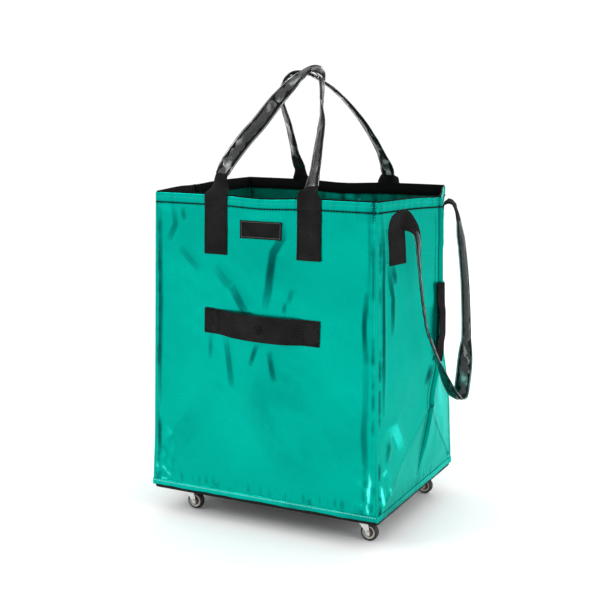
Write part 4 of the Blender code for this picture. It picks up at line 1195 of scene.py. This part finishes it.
def side_grab(prefix, face):
    """The upright strap folded over a side crease, sewn at its top and bottom."""
    sign = SIGN[face]
    z = np.linspace(*SIDE_GRAB_Z, 44)
    c = np.linspace(-1, 1, 19)
    share = (z - z[0]) / (z[-1] - z[0])
    bow = ease(0.20, 0.36, share) * ease(0.80, 0.64, share)
    crest = half_width(z) + side_out(0.0 * z, z, SIDE_BULGE[face]) + FIN + 0.0012
    grid = np.zeros((len(z), len(c), 3))
    for j, across in enumerate(c):
        y = SIDE_GRAB_MIDDLE + across * SIDE_GRAB_HALF
        cloth = np.abs(surface(face, sign * y, z)[:, 0]) + SIDE_GRAB_LIFT
        peak = crest - SIDE_GRAB_SLOPE * abs(y) - 0.0008 * math.exp(-((y / 0.006) ** 2))
        resting = np.maximum(cloth, peak)
        bowed = crest + 0.0018 * bow - (SIDE_GRAB_SLOPE - 0.20 * bow) * abs(y)
        reach = resting + (np.maximum(bowed, cloth) - resting) * bow
        grid[:, j] = np.stack([sign * reach, 0 * z + y, z], 1)
    item = make_mesh(f"{prefix}_grab_strap_cloth", grid, grid_faces(len(z), len(c)), black_web,
                     uvs=np.stack(np.meshgrid(z, c * SIDE_GRAB_HALF, indexing="ij"), -1).reshape(-1, 2))
    if sign < 0:
        item.data.flip_normals()
    thicken(item, WEBBING, 1.0)
    belong(item, "bag", "black_webbing", f"{prefix}_grab_strap")
    runs = []
    for low_z, high_z in ((0.309, 0.330), (0.426, 0.447)):
        for side in (-1, 1):
            run_z = np.array([low_z, high_z, high_z, low_z, low_z])
            run_y = SIDE_GRAB_MIDDLE + side * np.array([0.005, 0.005, 0.014, 0.014, 0.005])
            line = evenly(np.stack([0 * run_z, run_y, run_z], 1), 0.003)
            near = nearest(grid, (z, line[:, 2]), (c * SIDE_GRAB_HALF, line[:, 1] - SIDE_GRAB_MIDDLE))
            line[:, 0] = near[:, 0] + sign * (WEBBING + 0.0004)
            runs.append((line, np.tile([sign * 0.85, side * 0.5, 0.0], (len(line), 1))))
    sewn_down(f"{prefix}_grab_strap_stitches", runs)


side_grab("right", RIGHT)
side_grab("left", LEFT)

# Label: a blank woven patch with a plain stitched frame

LABEL_HALF = (0.0415, 0.0162)
LABEL_X, LABEL_Z = -0.0015, 0.5477
LABEL_FRAME_IN = 0.0030


def label_patch():
    wide, tall = LABEL_HALF
    x = np.linspace(-wide, wide, 40)
    z = np.linspace(-tall, tall, 18)
    grid_z, grid_x = np.meshgrid(z, x, indexing="ij")
    bed = surface(FRONT, grid_x + LABEL_X, grid_z + LABEL_Z)
    nearer = bed[..., 1].min()
    flat = nearer + 0.35 * (bed[..., 1] - nearer)
    bed[..., 1] = np.minimum(bed[..., 1] - 0.0002, flat + 0.0012)
    item = make_mesh("label_face", bed, grid_faces(len(z), len(x)), label_cloth)
    thicken(item, 0.0010, 1.0)
    soften(item, 0.0004)
    belong(item, "bag", "label", "label_patch")
    share = np.linspace(0, 1, 40)
    corners = ((-1, -1), (1, -1), (1, 1), (-1, 1))
    runs = []
    for (x0, z0), (x1, z1) in zip(corners, corners[1:] + corners[:1]):
        run_x = (x0 + (x1 - x0) * share) * (wide - LABEL_FRAME_IN)
        run_z = (z0 + (z1 - z0) * share) * (tall - LABEL_FRAME_IN)
        near = nearest(bed, (z, run_z), (x, run_x))
        points = np.stack([run_x + LABEL_X, near[:, 1] - 0.00125, run_z + LABEL_Z], 1)
        runs.append((points, np.tile([0.0, -1.0, 0.0], (len(points), 1))))
    sewn("label_stitches", runs, grey_thread, "label", 0.0026, 0.0021, 0.00028)


label_patch()


# Hard parts keep their CAD shapes, with their edges eased and their own finishes

def finish_node(name, material, edge=0.0):
    item = nodes[name]
    for slot in item.material_slots:
        slot.material = material
    if edge:
        soft = soften(item, edge)
        soft.limit_method = "ANGLE"
        soft.angle_limit = math.radians(40)
        soft.use_clamp_overlap = True


finish_node("base_board", board_plastic)
rivets = []
RIVET_IN = 0.0055
for end in ("front", "rear"):
    finish_node(f"caster_rail_{end}", rail_steel, 0.0005)
    for hand in ("left", "right"):
        prefix = f"caster_{end}_{hand}"
        for part, edge in (("plate", 0.0005), ("kingpin", 0.0), ("fork", 0.0004), ("axle", 0.0)):
            finish_node(f"{prefix}_{part}", zinc_finish, edge)
        hub_low, hub_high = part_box(f"{prefix}_hub")
        centre = (hub_low + hub_high) / 2
        finish_node(f"{prefix}_hub", wheel_centre(f"wheel_centre_{end}_{hand}", centre.x, centre.z))
        finish_node(f"{prefix}_tyre", tyre_rubber)
        plate_low, plate_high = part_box(f"{prefix}_plate")
        for x in (plate_low.x + RIVET_IN, plate_high.x - RIVET_IN):
            for y in (plate_low.y + RIVET_IN, plate_high.y - RIVET_IN):
                rivets.append((x - BAG_X, y))

# A rivet head, as (radius, height), from its root on the plate down to its crown
RIVET_PROFILE = ((0.0023, 0.04772), (0.0022, 0.0472), (0.0015, 0.0467), (0.0004, 0.0465))


def rivet_heads(steps=12):
    points, faces = [], []
    for x, y in rivets:
        start = len(points)
        for radius, z in RIVET_PROFILE:
            for angle in np.arange(steps) * math.tau / steps:
                points.append((x + radius * math.cos(angle), y + radius * math.sin(angle), z))
        faces += [tuple(start + k for k in face) for face in closed_rows(len(RIVET_PROFILE), steps)]
    return facing_out(make_mesh("caster_rivets", points, faces, zinc_finish))


belong(rivet_heads(), "bag", "zinc")


# Floor, light and camera

def studio_floor(size=60.0):
    mesh = bpy.data.meshes.new("studio_floor")
    mesh.from_pydata([(-size, -size, 0), (size, -size, 0), (size, size, 0), (-size, size, 0)], [],
                     [(0, 1, 2, 3)])
    shade = new_material("pale_floor", Roughness=0.8, Specular_IOR_Level=0.2)
    shade.set(Base_Color=shade.ramp(shade.noise(1.5), (0.3, (0.93, 0.93, 0.93)), (0.7, (0.95, 0.95, 0.95))))
    mesh.materials.append(shade.owner)
    add_to_scene("studio_floor", mesh)


def studio_world():
    """A plain bright studio, a little dimmer between its soft boxes."""
    world = bpy.data.worlds.new("studio")
    shade = Shading(world, "Background", Strength=1.32)
    height = shade.add("ShaderNodeSeparateXYZ", shade.places["Generated"]).outputs[2]
    shade.set(Color=shade.ramp(height, (0.0, (0.78, 0.78, 0.78)), (0.12, (0.78, 0.78, 0.78)),
                               (0.32, (0.50, 0.51, 0.52)), (0.6, (0.84, 0.85, 0.85)), (1.0, (1.0, 1.0, 1.0))))
    bpy.context.scene.world = world


def soft_box(name, place, aim, size, power):
    light = bpy.data.lights.new(name, "AREA")
    light.shape = "RECTANGLE"
    light.size, light.size_y = size
    light.energy = power
    item = add_to_scene(name, light)
    item.location = place
    item.rotation_euler = (Vector(aim) - Vector(place)).to_track_quat("-Z", "Y").to_euler()


studio_floor()
studio_world()
soft_box("key_light", (-1.9, -2.4, 2.3), (0, 0, 0.35), (1.3, 1.3), 34)
soft_box("fill_light", (2.7, -0.9, 1.6), (0, 0, 0.35), (1.0, 1.6), 20)
soft_box("back_light", (0.4, 2.8, 2.4), (0, 0, 0.4), (1.8, 1.0), 24)

AZIMUTH, ELEVATION = math.radians(26.62), math.radians(10.62)
DISTANCE = 2.2428
AIM = Vector((BAG_X - 0.01335, 0.0, 0.39378))
back = Vector((math.sin(AZIMUTH) * math.cos(ELEVATION), -math.cos(AZIMUTH) * math.cos(ELEVATION),
               math.sin(ELEVATION)))
camera = bpy.data.cameras.new("camera")
camera.sensor_width = 36.0
camera.lens = 70.95
eye = add_to_scene("camera", camera)
eye.location = AIM + back * DISTANCE
eye.rotation_euler = (-back).to_track_quat("-Z", "Y").to_euler()
bpy.context.scene.camera = eye
bpy.context.scene.view_settings.view_transform = "Standard"
